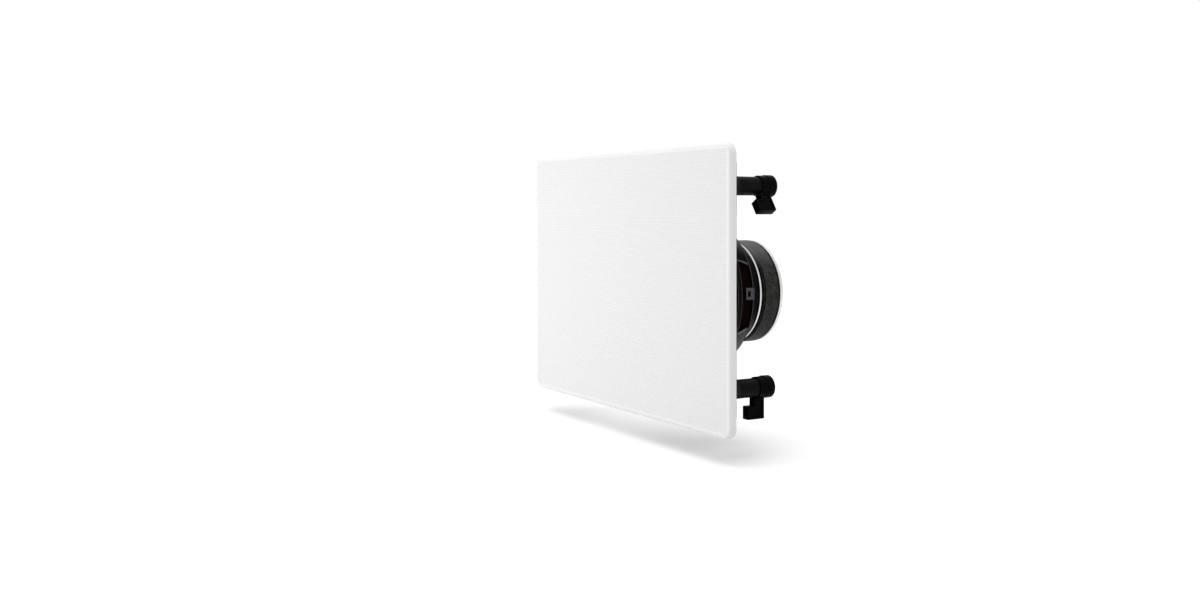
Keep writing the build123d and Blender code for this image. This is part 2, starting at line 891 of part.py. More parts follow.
def board_face():
    """Depth of the crossover board's component side."""
    return baffle_back + board_standoff + board_thickness


def crossover_board():
    """The circuit board on its four standoffs."""
    front = baffle_back + board_standoff
    board = Pos(board_x, board_z) * Rectangle(board_width, board_height)
    board = slab(board, front, board_face())
    for at in board_screw_places():
        board -= rod(small_screw_radius + fastener_play, front, board_face(), at)
    return board


def board_screws():
    """The screws that hold the crossover board."""
    return Compound(
        [
            pan_screw(
                at,
                small_screw_radius,
                small_screw_head,
                small_screw_head_height,
                board_face(),
                small_screw_length,
                1,
            )
            for at in board_screw_places()
        ]
    )


def inductor_bobbin():
    """The spool of the inductor."""
    at = (board_x + inductor_offset, board_z)
    front = board_face()
    back = front + bobbin_height
    return turned(
        (0, front),
        (bobbin_radius, front),
        (bobbin_radius, front + bobbin_flange),
        (bobbin_core, front + bobbin_flange),
        (bobbin_core, back - bobbin_flange),
        (bobbin_radius, back - bobbin_flange),
        (bobbin_radius, back),
        (0, back),
        at=at,
    )


def inductor_winding():
    """The copper wound on the spool."""
    at = (board_x + inductor_offset, board_z)
    front = board_face() + bobbin_flange
    return tube(bobbin_core, winding_radius, front, front + bobbin_height - 2 * bobbin_flange, at)


def capacitors():
    """The two capacitors lying on the board."""
    cans = []
    for row in capacitor_rows:
        can = Rot(0, 90, 0) * Cylinder(capacitor_radius, capacitor_length)
        can = fillet(can.edges().filter_by(GeomType.CIRCLE), clamp_edge)
        cans.append(Pos(board_x + capacitor_offset_x, board_face() + capacitor_radius, board_z + row) * can)
    return Compound(cans)


def resistor():
    """The cement resistor."""
    body = Box(resistor_length, resistor_side, resistor_side)
    body = chamfer(body.edges(), clamp_edge)
    seat = board_face() + resistor_side / 2
    row = board_z - board_height / 2 + resistor_inset_z
    return Pos(board_x + capacitor_offset_x, seat, row) * body


def button_places():
    """The X of the two terminals, red to the right seen from the front."""
    return [block_x + side * button_spread for side in (1, -1)]


def terminal_block():
    """The input terminal: two button wells above two wire holes."""
    back = baffle_back + block_depth
    body = block(
        block_x - block_width / 2,
        block_x + block_width / 2,
        baffle_back,
        back,
        block_z - block_height / 2,
        block_z + block_height / 2,
    )
    body = chamfer(body.faces().sort_by(Axis.Y)[-1].edges(), block_edge)
    well_floor = back + button_stand - button_length - button_travel - button_play
    for x in button_places():
        half_x = button_width / 2 + button_play
        half_z = button_height / 2 + button_play
        z = block_z + button_row
        body -= block(x - half_x, x + half_x, well_floor, back, z - half_z, z + half_z)
        body -= rod(wire_hole_radius, back - wire_hole_depth, back, (x, block_z + wire_row))
    for at in block_screw_places():
        body -= rod(small_screw_radius + fastener_play, baffle_back, back, at)
    return body


def terminal_button(x):
    """A push button that opens one terminal."""
    back = baffle_back + block_depth + button_stand
    z = block_z + button_row
    body = block(
        x - button_width / 2,
        x + button_width / 2,
        back - button_length,
        back,
        z - button_height / 2,
        z + button_height / 2,
    )
    return chamfer(body.faces().sort_by(Axis.Y)[-1].edges(), clamp_edge)


def block_screws():
    """The screws that hold the input terminal."""
    seat = baffle_back + block_depth
    return Compound(
        [
            pan_screw(
                at,
                small_screw_radius,
                small_screw_head,
                small_screw_head_height,
                seat,
                block_depth + baffle_thickness,
                1,
            )
            for at in block_screw_places()
        ]
    )


def input_leads():
    """The pair from the input terminal up to the crossover board."""
    start_y = baffle_back + block_depth / 2
    start_z = block_z + block_height / 2
    board_low = board_z - board_height / 2
    rest_y = board_face() + lead_radius
    left = tweeter_x - pod_radius - pod_play - pod_collar_wall
    pair = []
    for k in range(2):
        x = left - 3 * lead_radius - lead_gap * k
        route = [
            (x, start_y, start_z),
            (x, start_y, start_z + 16),
            (x - 1, rest_y + 1, tweeter_z),
            (x, rest_y + 2, board_low - 10),
            (x, rest_y, board_low + 6),
        ]
        pair.append(lead(route, lead_radius))
    return Compound(pair)


def woofer_leads():
    """The pair from the crossover board to the woofer's tags."""
    rest_y = board_face() + lead_radius
    tag_y = baffle_front + tag_board_depth + tag_board_length / 2 + tag_length
    tag_x = tag_board_back() - tag_thickness / 2
    right = board_x + board_width / 2
    low = board_z - board_height / 2
    pair = []
    for side in (1, -1):
        end_z = woofer_z + side * tag_spread
        route = [
            (right - 8, rest_y, low + 20 + side * lead_gap),
            (right + 4, rest_y + 3, low + 14 + side * lead_gap),
            (right + 13, tag_y + 4, low - 12 + side * lead_gap),
            (tag_x - 4, tag_y + 9, end_z + 9),
            (tag_x, tag_y + lead_radius, end_z),
        ]
        pair.append(lead(route, lead_radius))
    return Compound(pair)


def tweeter_leads():
    """The limp pair from the crossover board to the tweeter's skirt."""
    rest_y = board_face() + lead_radius
    low = board_z - board_height / 2
    skirt_y = pivot_y + skirt_back
    end_z = tweeter_z + skirt_radius - skirt_wall / 2
    pair = []
    for side in (1, -1):
        x = tweeter_x + side * lead_gap / 2
        start_x = x - tweeter_lead_shift
        route = [
            (start_x, rest_y, low + 8),
            (start_x, rest_y + 3, low - 2),
            (x - tweeter_lead_shift / 2, skirt_y + 8, low - 10),
            (x, skirt_y + 9, end_z),
            (x, skirt_y, end_z),
        ]
        pair.append(lead(route, lead_radius))
    return Compound(pair)


def all_parts():
    """Every piece by its node's name."""
    corners = ["upper_right", "upper_left", "lower_right", "lower_left"]
    swings = {"upper_right": -upper_right_swing_angle}
    slacks = {"upper_right": upper_right_slack}
    red, black = button_places()
    parts = {
        "grille": grille(),
        "grille_scrim": grille_scrim(),
        "grille_magnets": grille_magnets(),
        "frame": frame(),
        "woofer_basket": woofer_basket(),
        "woofer_gasket": woofer_gasket(),
        "woofer_surround": woofer_surround(),
        "woofer_cone": woofer_cone(),
        "woofer_dust_cap": woofer_dust_cap(),
        "coil_former": coil_former(),
        "voice_coil": voice_coil(),
        "spider": spider(),
        "top_plate": top_plate(),
        "ferrite_magnet": ferrite_magnet(),
        "pole_yoke": pole_yoke(),
        "woofer_tag_board": woofer_tag_board(),
        "woofer_tags": woofer_tags(),
        "tinsel_leads": tinsel_leads(),
        "woofer_screws": woofer_screws(),
        "tweeter_pod": tweeter_pod(),
        "tweeter_pins": tweeter_pins(),
        "tweeter_dome": tweeter_dome(),
        "tweeter_coil": tweeter_coil(),
        "tweeter_plate": tweeter_plate(),
        "tweeter_magnet": tweeter_magnet(),
        "tweeter_yoke": tweeter_yoke(),
        "crossover_board": crossover_board(),
        "board_screws": board_screws(),
        "inductor_bobbin": inductor_bobbin(),
        "inductor_winding": inductor_winding(),
        "capacitors": capacitors(),
        "resistor": resistor(),
        "terminal_block": terminal_block(),
        "terminal_button_red": terminal_button(red),
        "terminal_button_black": terminal_button(black),
        "block_screws": block_screws(),
        "input_leads": input_leads(),
        "woofer_leads": woofer_leads(),
        "tweeter_leads": tweeter_leads(),
    }
    for corner, at in zip(corners, towers):
        parts["clamp_screw_" + corner] = clamp_screw(at)
        parts["clamp_" + corner] = clamp(at, swings.get(corner, 0), slacks.get(corner, 0))
    return parts


os.makedirs("parts", exist_ok=True)
for node, shape in all_parts().items():
    export_step(shape, f"parts/{node}.step")
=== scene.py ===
"""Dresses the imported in-wall speaker: its white grille, black frame and clamps, and the drivers behind."""

import logging
import math
from dataclasses import dataclass
from enum import Enum
from typing import Any, ClassVar, Mapping, Sequence

import bmesh
import bpy
from mathutils import Matrix, Vector


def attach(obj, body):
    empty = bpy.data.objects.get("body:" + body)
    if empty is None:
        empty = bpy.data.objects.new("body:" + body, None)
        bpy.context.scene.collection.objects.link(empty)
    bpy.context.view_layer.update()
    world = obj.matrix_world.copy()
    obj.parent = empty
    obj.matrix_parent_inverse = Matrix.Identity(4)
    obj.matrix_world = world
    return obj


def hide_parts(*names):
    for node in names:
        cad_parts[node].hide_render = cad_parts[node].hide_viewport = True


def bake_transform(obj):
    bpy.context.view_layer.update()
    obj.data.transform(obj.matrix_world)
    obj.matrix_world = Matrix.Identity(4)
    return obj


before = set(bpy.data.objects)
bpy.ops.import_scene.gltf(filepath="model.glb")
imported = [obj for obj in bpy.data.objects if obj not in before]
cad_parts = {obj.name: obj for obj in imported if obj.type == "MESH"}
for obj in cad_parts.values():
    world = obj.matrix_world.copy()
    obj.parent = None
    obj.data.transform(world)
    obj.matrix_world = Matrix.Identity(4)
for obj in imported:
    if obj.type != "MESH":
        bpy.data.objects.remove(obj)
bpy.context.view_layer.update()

Colour = tuple[float, float, float]
Point = tuple[float, float]
Profile = Sequence[Point]
Route = Sequence[tuple[float, float, float]]
Socket = bpy.types.NodeSocket

FLOAT = "NodeSocketFloat"
LOG = logging.getLogger("speaker")


def mm(x: float, y: float, z: float) -> Vector:
    """Gives a point of the part's frame, written in millimetres."""
    return Vector((x, y, z)) * 0.001


class Graph:
    """A shader tree that is filled node by node."""

    def __init__(self, tree: bpy.types.NodeTree) -> None:
        """Keeps the tree that the nodes go into."""
        self.tree = tree

    @classmethod
    def fresh(cls, owner: bpy.types.Material | bpy.types.World) -> "Graph":
        """Empties the tree of a material or a world.

        Args:
            owner: the material or the world.

        Returns:
            Its empty tree.
        """
        owner.use_nodes = True
        owner.node_tree.nodes.clear()
        return cls(owner.node_tree)

    def add(self, kind: str, inputs: Mapping[Any, Any] | None = None, **settings: Any) -> bpy.types.Node:
        """Adds a node.

        Args:
            kind: the node's type name.
            inputs: for each socket's name or number, a value or the socket that feeds it.
            **settings: the node's own options.

        Returns:
            The new node.
        """
        node = self.tree.nodes.new(kind)
        for key, value in settings.items():
            setattr(node, key, value)
        for key, value in (inputs or {}).items():
            if isinstance(value, Socket):
                self.tree.links.new(value, node.inputs[key])
            else:
                node.inputs[key].default_value = value
        return node

    def math(self, operation: str, *values: Any, clamp: bool = False) -> Socket:
        """Adds a Math node.

        Args:
            operation: what it does.
            *values: its numbers or the sockets that feed them.
            clamp: whether the answer is kept between 0 and 1.

        Returns:
            The answer's socket.
        """
        settings = {"operation": operation, "use_clamp": clamp}
        return self.add("ShaderNodeMath", dict(enumerate(values)), **settings).outputs[0]

    def mix(self, share: Any, first: Any, second: Any) -> Socket:
        """Adds a colour mix.

        Args:
            share: how much of the second colour shows.
            first: the colour at 0.
            second: the colour at 1.

        Returns:
            The mixed colour's socket.
        """
        node = self.add("ShaderNodeMix", None, data_type="RGBA", clamp_factor=True)
        for place, value in ((0, share), (6, first), (7, second)):
            if isinstance(value, Socket):
                self.tree.links.new(value, node.inputs[place])
            else:
                node.inputs[place].default_value = value if place == 0 else (*value, 1.0)
        return node.outputs[2]

    def span(self, value: Any, low: Any, high: Any, to_low: float, to_high: float) -> Socket:
        """Maps a range to another with eased ends.

        Args:
            value: the socket to map.
            low: where the first range starts.
            high: where it ends.
            to_low: what its start becomes.
            to_high: what its end becomes.

        Returns:
            The mapped value's socket.
        """
        limits = {0: value, 1: low, 2: high, 3: to_low, 4: to_high}
        return self.add("ShaderNodeMapRange", limits, interpolation_type="SMOOTHSTEP").outputs[0]

    def noise(self, place: Socket, scale: Any, detail: float) -> Socket:
        """Adds a cloudy texture.

        Args:
            place: the point that it is read at.
            scale: how fine it is.
            detail: how many finer layers it has.

        Returns:
            The socket of its strength.
        """
        settings = {"Vector": place, "Scale": scale, "Detail": detail}
        return self.add("ShaderNodeTexNoise", settings).outputs[0]

    def weigh(self, first: tuple[Socket, float], second: tuple[Socket, float]) -> Socket:
        """Adds two values up, each times its weight.

        Args:
            first: a value and its weight.
            second: the other value and its weight.

        Returns:
            The sum's socket.
        """
        return self.math("ADD", self.math("MULTIPLY", *first), self.math("MULTIPLY", *second))

    def place(self) -> Socket:
        """Gives the surface point in the part's frame."""
        return self.add("ShaderNodeTexCoord").outputs["Object"]


@dataclass(frozen=True)
class Effect:
    """A node group that several finishes share."""

    title: ClassVar[str] = ""
    given: ClassVar[tuple[str, ...]] = ()
    makes: ClassVar[tuple[tuple[str, str], ...]] = (("Tone", FLOAT), ("Height", FLOAT))

    def fill(self, graph: Graph, given: Any) -> dict[str, Socket]:
        """Builds the group's inside.

        Args:
            graph: the group's tree.
            given: its input sockets by name.

        Returns:
            What goes to each output.
        """
        raise NotImplementedError

    def group(self) -> bpy.types.NodeTree:
        """Makes the group once and hands it out after that.

        Returns:
            The group's tree.
        """
        found = bpy.data.node_groups.get(self.title)
        if found:
            return found
        tree = bpy.data.node_groups.new(self.title, "ShaderNodeTree")
        for name in self.given:
            tree.interface.new_socket(name, in_out="INPUT", socket_type=FLOAT)
        for name, kind in self.makes:
            tree.interface.new_socket(name, in_out="OUTPUT", socket_type=kind)
        graph = Graph(tree)
        made = self.fill(graph, graph.add("NodeGroupInput").outputs)
        graph.add("NodeGroupOutput", made)
        return tree

    def use(self, graph: Graph, *values: float) -> Any:
        """Puts the group into a material.

        Args:
            graph: the material's tree.
            *values: the group's inputs, in their order.

        Returns:
            The group's outputs by name.
        """
        inputs = dict(zip(self.given, values))
        return graph.add("ShaderNodeGroup", inputs, node_tree=self.group()).outputs


class Grain(Effect):
    """Fine bumps and a broad, faint change of tone."""

    title = "grain"
    given = ("Fine", "Broad")

    def fill(self, graph: Graph, given: Any) -> dict[str, Socket]:
        """Builds the group's inside.

        Args:
            graph: the group's tree.
            given: how fine the bumps and the change of tone are.

        Returns:
            The tone, and the height of the bumps.
        """
        place = graph.place()
        fine = graph.noise(place, given["Fine"], 3.0)
        broad = graph.noise(place, given["Broad"], 4.0)
        tone = graph.weigh((broad, 0.6), (fine, 0.4))
        return {"Tone": graph.span(tone, 0.3, 0.7, 0.0, 1.0), "Height": fine}


class Edges(Effect):
    """The normal of a softened edge, and a mask of where the edge is."""

    title = "soft edges"
    given = ("Radius",)
    makes = (("Mask", FLOAT), ("Normal", "NodeSocketVector"))

    def fill(self, graph: Graph, given: Any) -> dict[str, Socket]:
        """Builds the group's inside.

        Args:
            graph: the group's tree.
            given: the radius of the edges.

        Returns:
            The mask, and the softened normal.
        """
        soft = graph.add("ShaderNodeBevel", {"Radius": given["Radius"]}, samples=4).outputs[0]
        flat = graph.add("ShaderNodeNewGeometry").outputs["Normal"]
        turn = graph.add("ShaderNodeVectorMath", {0: soft, 1: flat}, operation="DOT_PRODUCT")
        mask = graph.span(turn.outputs["Value"], 0.98, 0.80, 0.0, 1.0)
        return {"Mask": mask, "Normal": soft}


class Perforation(Effect):
    """Round holes in staggered rows, inside a plain border."""

    title = "perforation"
    given = ("Pitch", "Row", "Radius", "Half width", "Half height")
    makes = (("Hole", FLOAT), ("Height", FLOAT))

    def fill(self, graph: Graph, given: Any) -> dict[str, Socket]:
        """Builds the group's inside.

        Args:
            graph: the group's tree.
            given: the holes' pitch, row height and radius, and half the width and height that they fill.

        Returns:
            A mask of the holes, and the sheet's height, which sinks at their rims.
        """
        axes = graph.add("ShaderNodeSeparateXYZ", {0: graph.place()}).outputs
        cell = {"X": given["Pitch"], "Z": graph.math("MULTIPLY", given["Row"], 2.0)}
        near = None
        for step in (0.0, 0.5):
            squares = []
            for axis, size in cell.items():
                count = graph.math("ADD", graph.math("DIVIDE", axes[axis], size), step)
                off = graph.math("SUBTRACT", count, graph.math("ROUND", count))
                gap = graph.math("ABSOLUTE", graph.math("MULTIPLY", off, size))
                squares.append(graph.math("POWER", gap, 2.0))
            far = graph.math("SQRT", graph.math("ADD", *squares))
            near = far if near is None else graph.math("MINIMUM", near, far)
        out_x = graph.math("SUBTRACT", graph.math("ABSOLUTE", axes["X"]), given["Half width"])
        out_z = graph.math("SUBTRACT", graph.math("ABSOLUTE", axes["Z"]), given["Half height"])
        inside = graph.math("LESS_THAN", graph.math("MAXIMUM", out_x, out_z), 0.0)
        share = graph.math("DIVIDE", near, given["Radius"])
        hole = graph.math("MULTIPLY", graph.span(share, 1.08, 0.92, 0.0, 1.0), inside)
        rim = graph.math("MULTIPLY", graph.span(share, 1.5, 1.0, 0.0, 1.0), inside)
        return {"Hole": hole, "Height": graph.math("SUBTRACT", 1.0, rim)}


class Turning(Effect):
    """Rings left by a lathe about an axis along Y, with streaks round the axis that are marks in the height
    and a painted sheen in the tone.
    """

    title = "turning"
    given = ("Centre X", "Centre Z", "Rings")
    stretch: ClassVar[float] = 900.0
    streaks: ClassVar[float] = 1.6
    spots: ClassVar[float] = 130.0

    def fill(self, graph: Graph, given: Any) -> dict[str, Socket]:
        """Builds the group's inside.

        Args:
            graph: the group's tree.
            given: where the axis is, and how close the rings are.

        Returns:
            The tone, and the height of rings and streaks.
        """
        place = graph.place()
        axes = graph.add("ShaderNodeSeparateXYZ", {0: place}).outputs
        x = graph.math("SUBTRACT", axes["X"], given["Centre X"])
        z = graph.math("SUBTRACT", axes["Z"], given["Centre Z"])
        squares = graph.math("MULTIPLY", x, x), graph.math("MULTIPLY", z, z)
        along = graph.math("ADD", graph.math("SQRT", graph.math("ADD", *squares)), axes["Y"])
        rings = graph.math("SINE", graph.math("MULTIPLY", along, given["Rings"]))
        spun = graph.add("ShaderNodeCombineXYZ", {0: graph.math("MULTIPLY", along, self.stretch),
                                                  1: graph.math("ARCTAN2", x, z)}).outputs[0]
        # The streaks are turning marks in the bump, and in the tone a painted sheen of turned metal.
        streak_and_sheen = graph.noise(spun, self.streaks, 5.0)
        tone = graph.weigh((streak_and_sheen, 0.6), (graph.noise(place, self.spots, 3.0), 0.4))
        height = graph.math("ADD", graph.math("MULTIPLY", rings, 0.25), streak_and_sheen)
        return {"Tone": graph.span(tone, 0.35, 0.65, 0.0, 1.0), "Height": height}


class Weave(Effect):
    """Threads that pass over and under each other."""

    title = "weave"
    given = ("Threads",)
    fuzz: ClassVar[float] = 700.0

    def fill(self, graph: Graph, given: Any) -> dict[str, Socket]:
        """Builds the group's inside.

        Args:
            graph: the group's tree.
            given: how close the threads are.

        Returns:
            The tone, and the height of the threads.
        """
        place = graph.place()
        axes = graph.add("ShaderNodeSeparateXYZ", {0: place}).outputs
        warp = graph.math("SINE", graph.math("MULTIPLY", axes["X"], given["Threads"]))
        weft = graph.math("SINE", graph.math("MULTIPLY", axes["Z"], given["Threads"]))
        over = graph.math("GREATER_THAN", graph.math("MULTIPLY", warp, weft), 0.0)
        lift = graph.add("ShaderNodeMix", {0: over, 2: graph.math("ABSOLUTE", warp),
                                           3: graph.math("ABSOLUTE", weft)}, data_type="FLOAT").outputs[0]
        tone = graph.weigh((lift, 0.6), (graph.noise(place, self.fuzz, 4.0), 0.4))
        return {"Tone": tone, "Height": lift}


class Sinter(Effect):
    """Pressed and fired grains with small pits, as in a ferrite ring."""

    title = "sinter"
    given = ("Grains",)
    clouds: ClassVar[float] = 330.0

    def fill(self, graph: Graph, given: Any) -> dict[str, Socket]:
        """Builds the group's inside.

        Args:
            graph: the group's tree.
            given: how fine the grains are.

        Returns:
            The tone, and the height of the grains.
        """
        place = graph.place()
        cells = graph.add("ShaderNodeTexVoronoi", {"Vector": place, "Scale": given["Grains"]}).outputs[0]
        tone = graph.weigh((cells, 0.25), (graph.noise(place, self.clouds, 5.0), 0.8))
        return {"Tone": graph.span(tone, 0.36, 0.74, 0.0, 1.0), "Height": cells}


class Dust(Effect):
    """A mask of dust with painted top light on faces that look up, and of painted floor bounce on those that
    look down.
    """

    title = "dust"
    given = ("Above", "Below")
    makes = (("Mask", FLOAT),)
    patches: ClassVar[float] = 700.0

    def fill(self, graph: Graph, given: Any) -> dict[str, Socket]:
        """Builds the group's inside.

        Args:
            graph: the group's tree.
            given: how much dust and painted top light lies on faces that look up, and how much painted floor
                bounce on those that look down.

        Returns:
            The mask.
        """
        normal = graph.add("ShaderNodeNewGeometry").outputs["Normal"]
        facing = graph.add("ShaderNodeSeparateXYZ", {0: normal}).outputs["Z"]
        # Up: real dust together with painted top light. Down: painted floor bounce, a paler tone where light
        # from the floor would fall.
        up = graph.math("MULTIPLY", graph.span(facing, 0.45, 0.97, 0.0, 1.0), given["Above"])
        down = graph.math("MULTIPLY", graph.span(facing, -0.2, -0.75, 0.0, 1.0), given["Below"])
        cloud = graph.noise(graph.place(), self.patches, 4.0)
        patchy = graph.span(cloud, 0.25, 0.65, 0.75, 1.0)
        return {"Mask": graph.math("MULTIPLY", graph.math("ADD", up, down), patchy, clamp=True)}


@dataclass(frozen=True)
class Finish:
    """A surface with a fine grain: moulded plastic, paint, rubber or film."""

    name: str
    colour: Colour
    second: Colour
    roughness: tuple[float, float] = (0.4, 0.5)
    metallic: float = 0.0
    specular: float = 0.5
    coat: float = 0.0
    fine: float = 1400.0
    broad: float = 60.0
    bump: float = 0.25
    depth: float = 0.00004
    edge: float = 0.0004
    # The edges' paler colour is partly wear and partly a painted highlight along the edges.
    edge_wear_and_highlight_colour: Colour | None = None
    edge_share: float = 0.5
    # dust: how much of the pale dust colour goes on faces that look up and down: dust with painted top light
    # above, painted floor bounce below.
    dust: tuple[float, float] | None = None
    dust_and_light_colour: Colour = (0.30, 0.30, 0.31)

    def pattern(self, graph: Graph) -> tuple[Socket, ...]:
        """Gives the sockets of the finish's tone and height."""
        return tuple(Grain().use(graph, self.fine, self.broad))

    def tint(self, graph: Graph, tone: Socket) -> Socket:
        """Mixes the finish's two colours by its tone."""
        return graph.mix(tone, self.colour, self.second)

    def material(self) -> bpy.types.Material:
        """Makes the material once and hands it out after that.

        Returns:
            The material.
        """
        title = f"{self.name}_finish"
        found = bpy.data.materials.get(title)
        if found:
            return found
        made = bpy.data.materials.new(title)
        graph = Graph.fresh(made)
        tone, height = self.pattern(graph)
        edges = Edges().use(graph, self.edge)
        colour = self.tint(graph, tone)
        # Edges turn paler: partly wear, partly a painted highlight.
        if self.edge_wear_and_highlight_colour:
            worn_and_lit_edge = graph.math("MULTIPLY", edges["Mask"], self.edge_share)
            colour = graph.mix(worn_and_lit_edge, colour, self.edge_wear_and_highlight_colour)
        # Pale tone on faces that look up and down: dust with painted top light, and painted floor bounce.
        if self.dust:
            colour = graph.mix(Dust().use(graph, *self.dust)["Mask"], colour, self.dust_and_light_colour)
        bump = graph.add("ShaderNodeBump", {"Strength": self.bump, "Distance": self.depth, "Height": height,
                                            "Normal": edges["Normal"]})
        shader = graph.add("ShaderNodeBsdfPrincipled", {
            "Base Color": colour, "Roughness": graph.span(tone, 0.0, 1.0, *self.roughness),
            "Metallic": self.metallic, "Specular IOR Level": self.specular, "Coat Weight": self.coat,
            "Normal": bump.outputs[0],
        })
        graph.add("ShaderNodeOutputMaterial", {"Surface": shader.outputs[0]})
        return made


@dataclass(frozen=True)
class Moulded(Finish):
    """Plastic that is paler on the plate than on the towers that stand behind it, blended by depth."""

    plate: Colour = (0.013, 0.013, 0.014)
    plate_second: Colour = (0.024, 0.024, 0.025)
    plate_end: float = 0.0118
    tower_start: float = 0.0150

    def tint(self, graph: Graph, tone: Socket) -> Socket:
        """Mixes the plate's colours and the towers' by depth.

        Args:
            graph: the material's tree.
            tone: the socket of its tone.

        Returns:
            The colour's socket.
        """
        depth = graph.add("ShaderNodeSeparateXYZ", {0: graph.place()}).outputs["Y"]
        behind = graph.span(depth, self.plate_end, self.tower_start, 0.0, 1.0)
        return graph.mix(behind, graph.mix(tone, self.plate, self.plate_second), super().tint(graph, tone))


@dataclass(frozen=True)
class Perforated(Finish):
    """Painted sheet steel with rows of holes that show the cloth behind; the holes take the darker second
    colour, which paints the cloth's shade in them.
    """

    pitch: float = 0.0017
    row: float = 0.00147
    hole: float = 0.0005
    half_width: float = 0.1478
    half_height: float = 0.1038

    def pattern(self, graph: Graph) -> tuple[Socket, ...]:
        """Gives the sockets of the holes and of the sheet's height."""
        sizes = (self.pitch, self.row, self.hole, self.half_width, self.half_height)
        return tuple(Perforation().use(graph, *sizes))


@dataclass(frozen=True)
class Turned(Finish):
    """Metal or pressed fibre with rings about a driver's axis."""

    centre: Point = (0.057, -0.0079)
    rings: float = 5200.0

    def pattern(self, graph: Graph) -> tuple[Socket, ...]:
        """Gives the sockets of the rings' tone and height."""
        return tuple(Turning().use(graph, *self.centre, self.rings))


@dataclass(frozen=True)
class Woven(Finish):
    """Cloth."""

    threads: float = 2600.0

    def pattern(self, graph: Graph) -> tuple[Socket, ...]:
        """Gives the sockets of the threads' tone and height."""
        return tuple(Weave().use(graph, self.threads))


@dataclass(frozen=True)
class Sintered(Finish):
    """Ferrite."""

    grains: float = 1500.0

    def pattern(self, graph: Graph) -> tuple[Socket, ...]:
        """Gives the sockets of the grains' tone and height."""
        return tuple(Sinter().use(graph, self.grains))


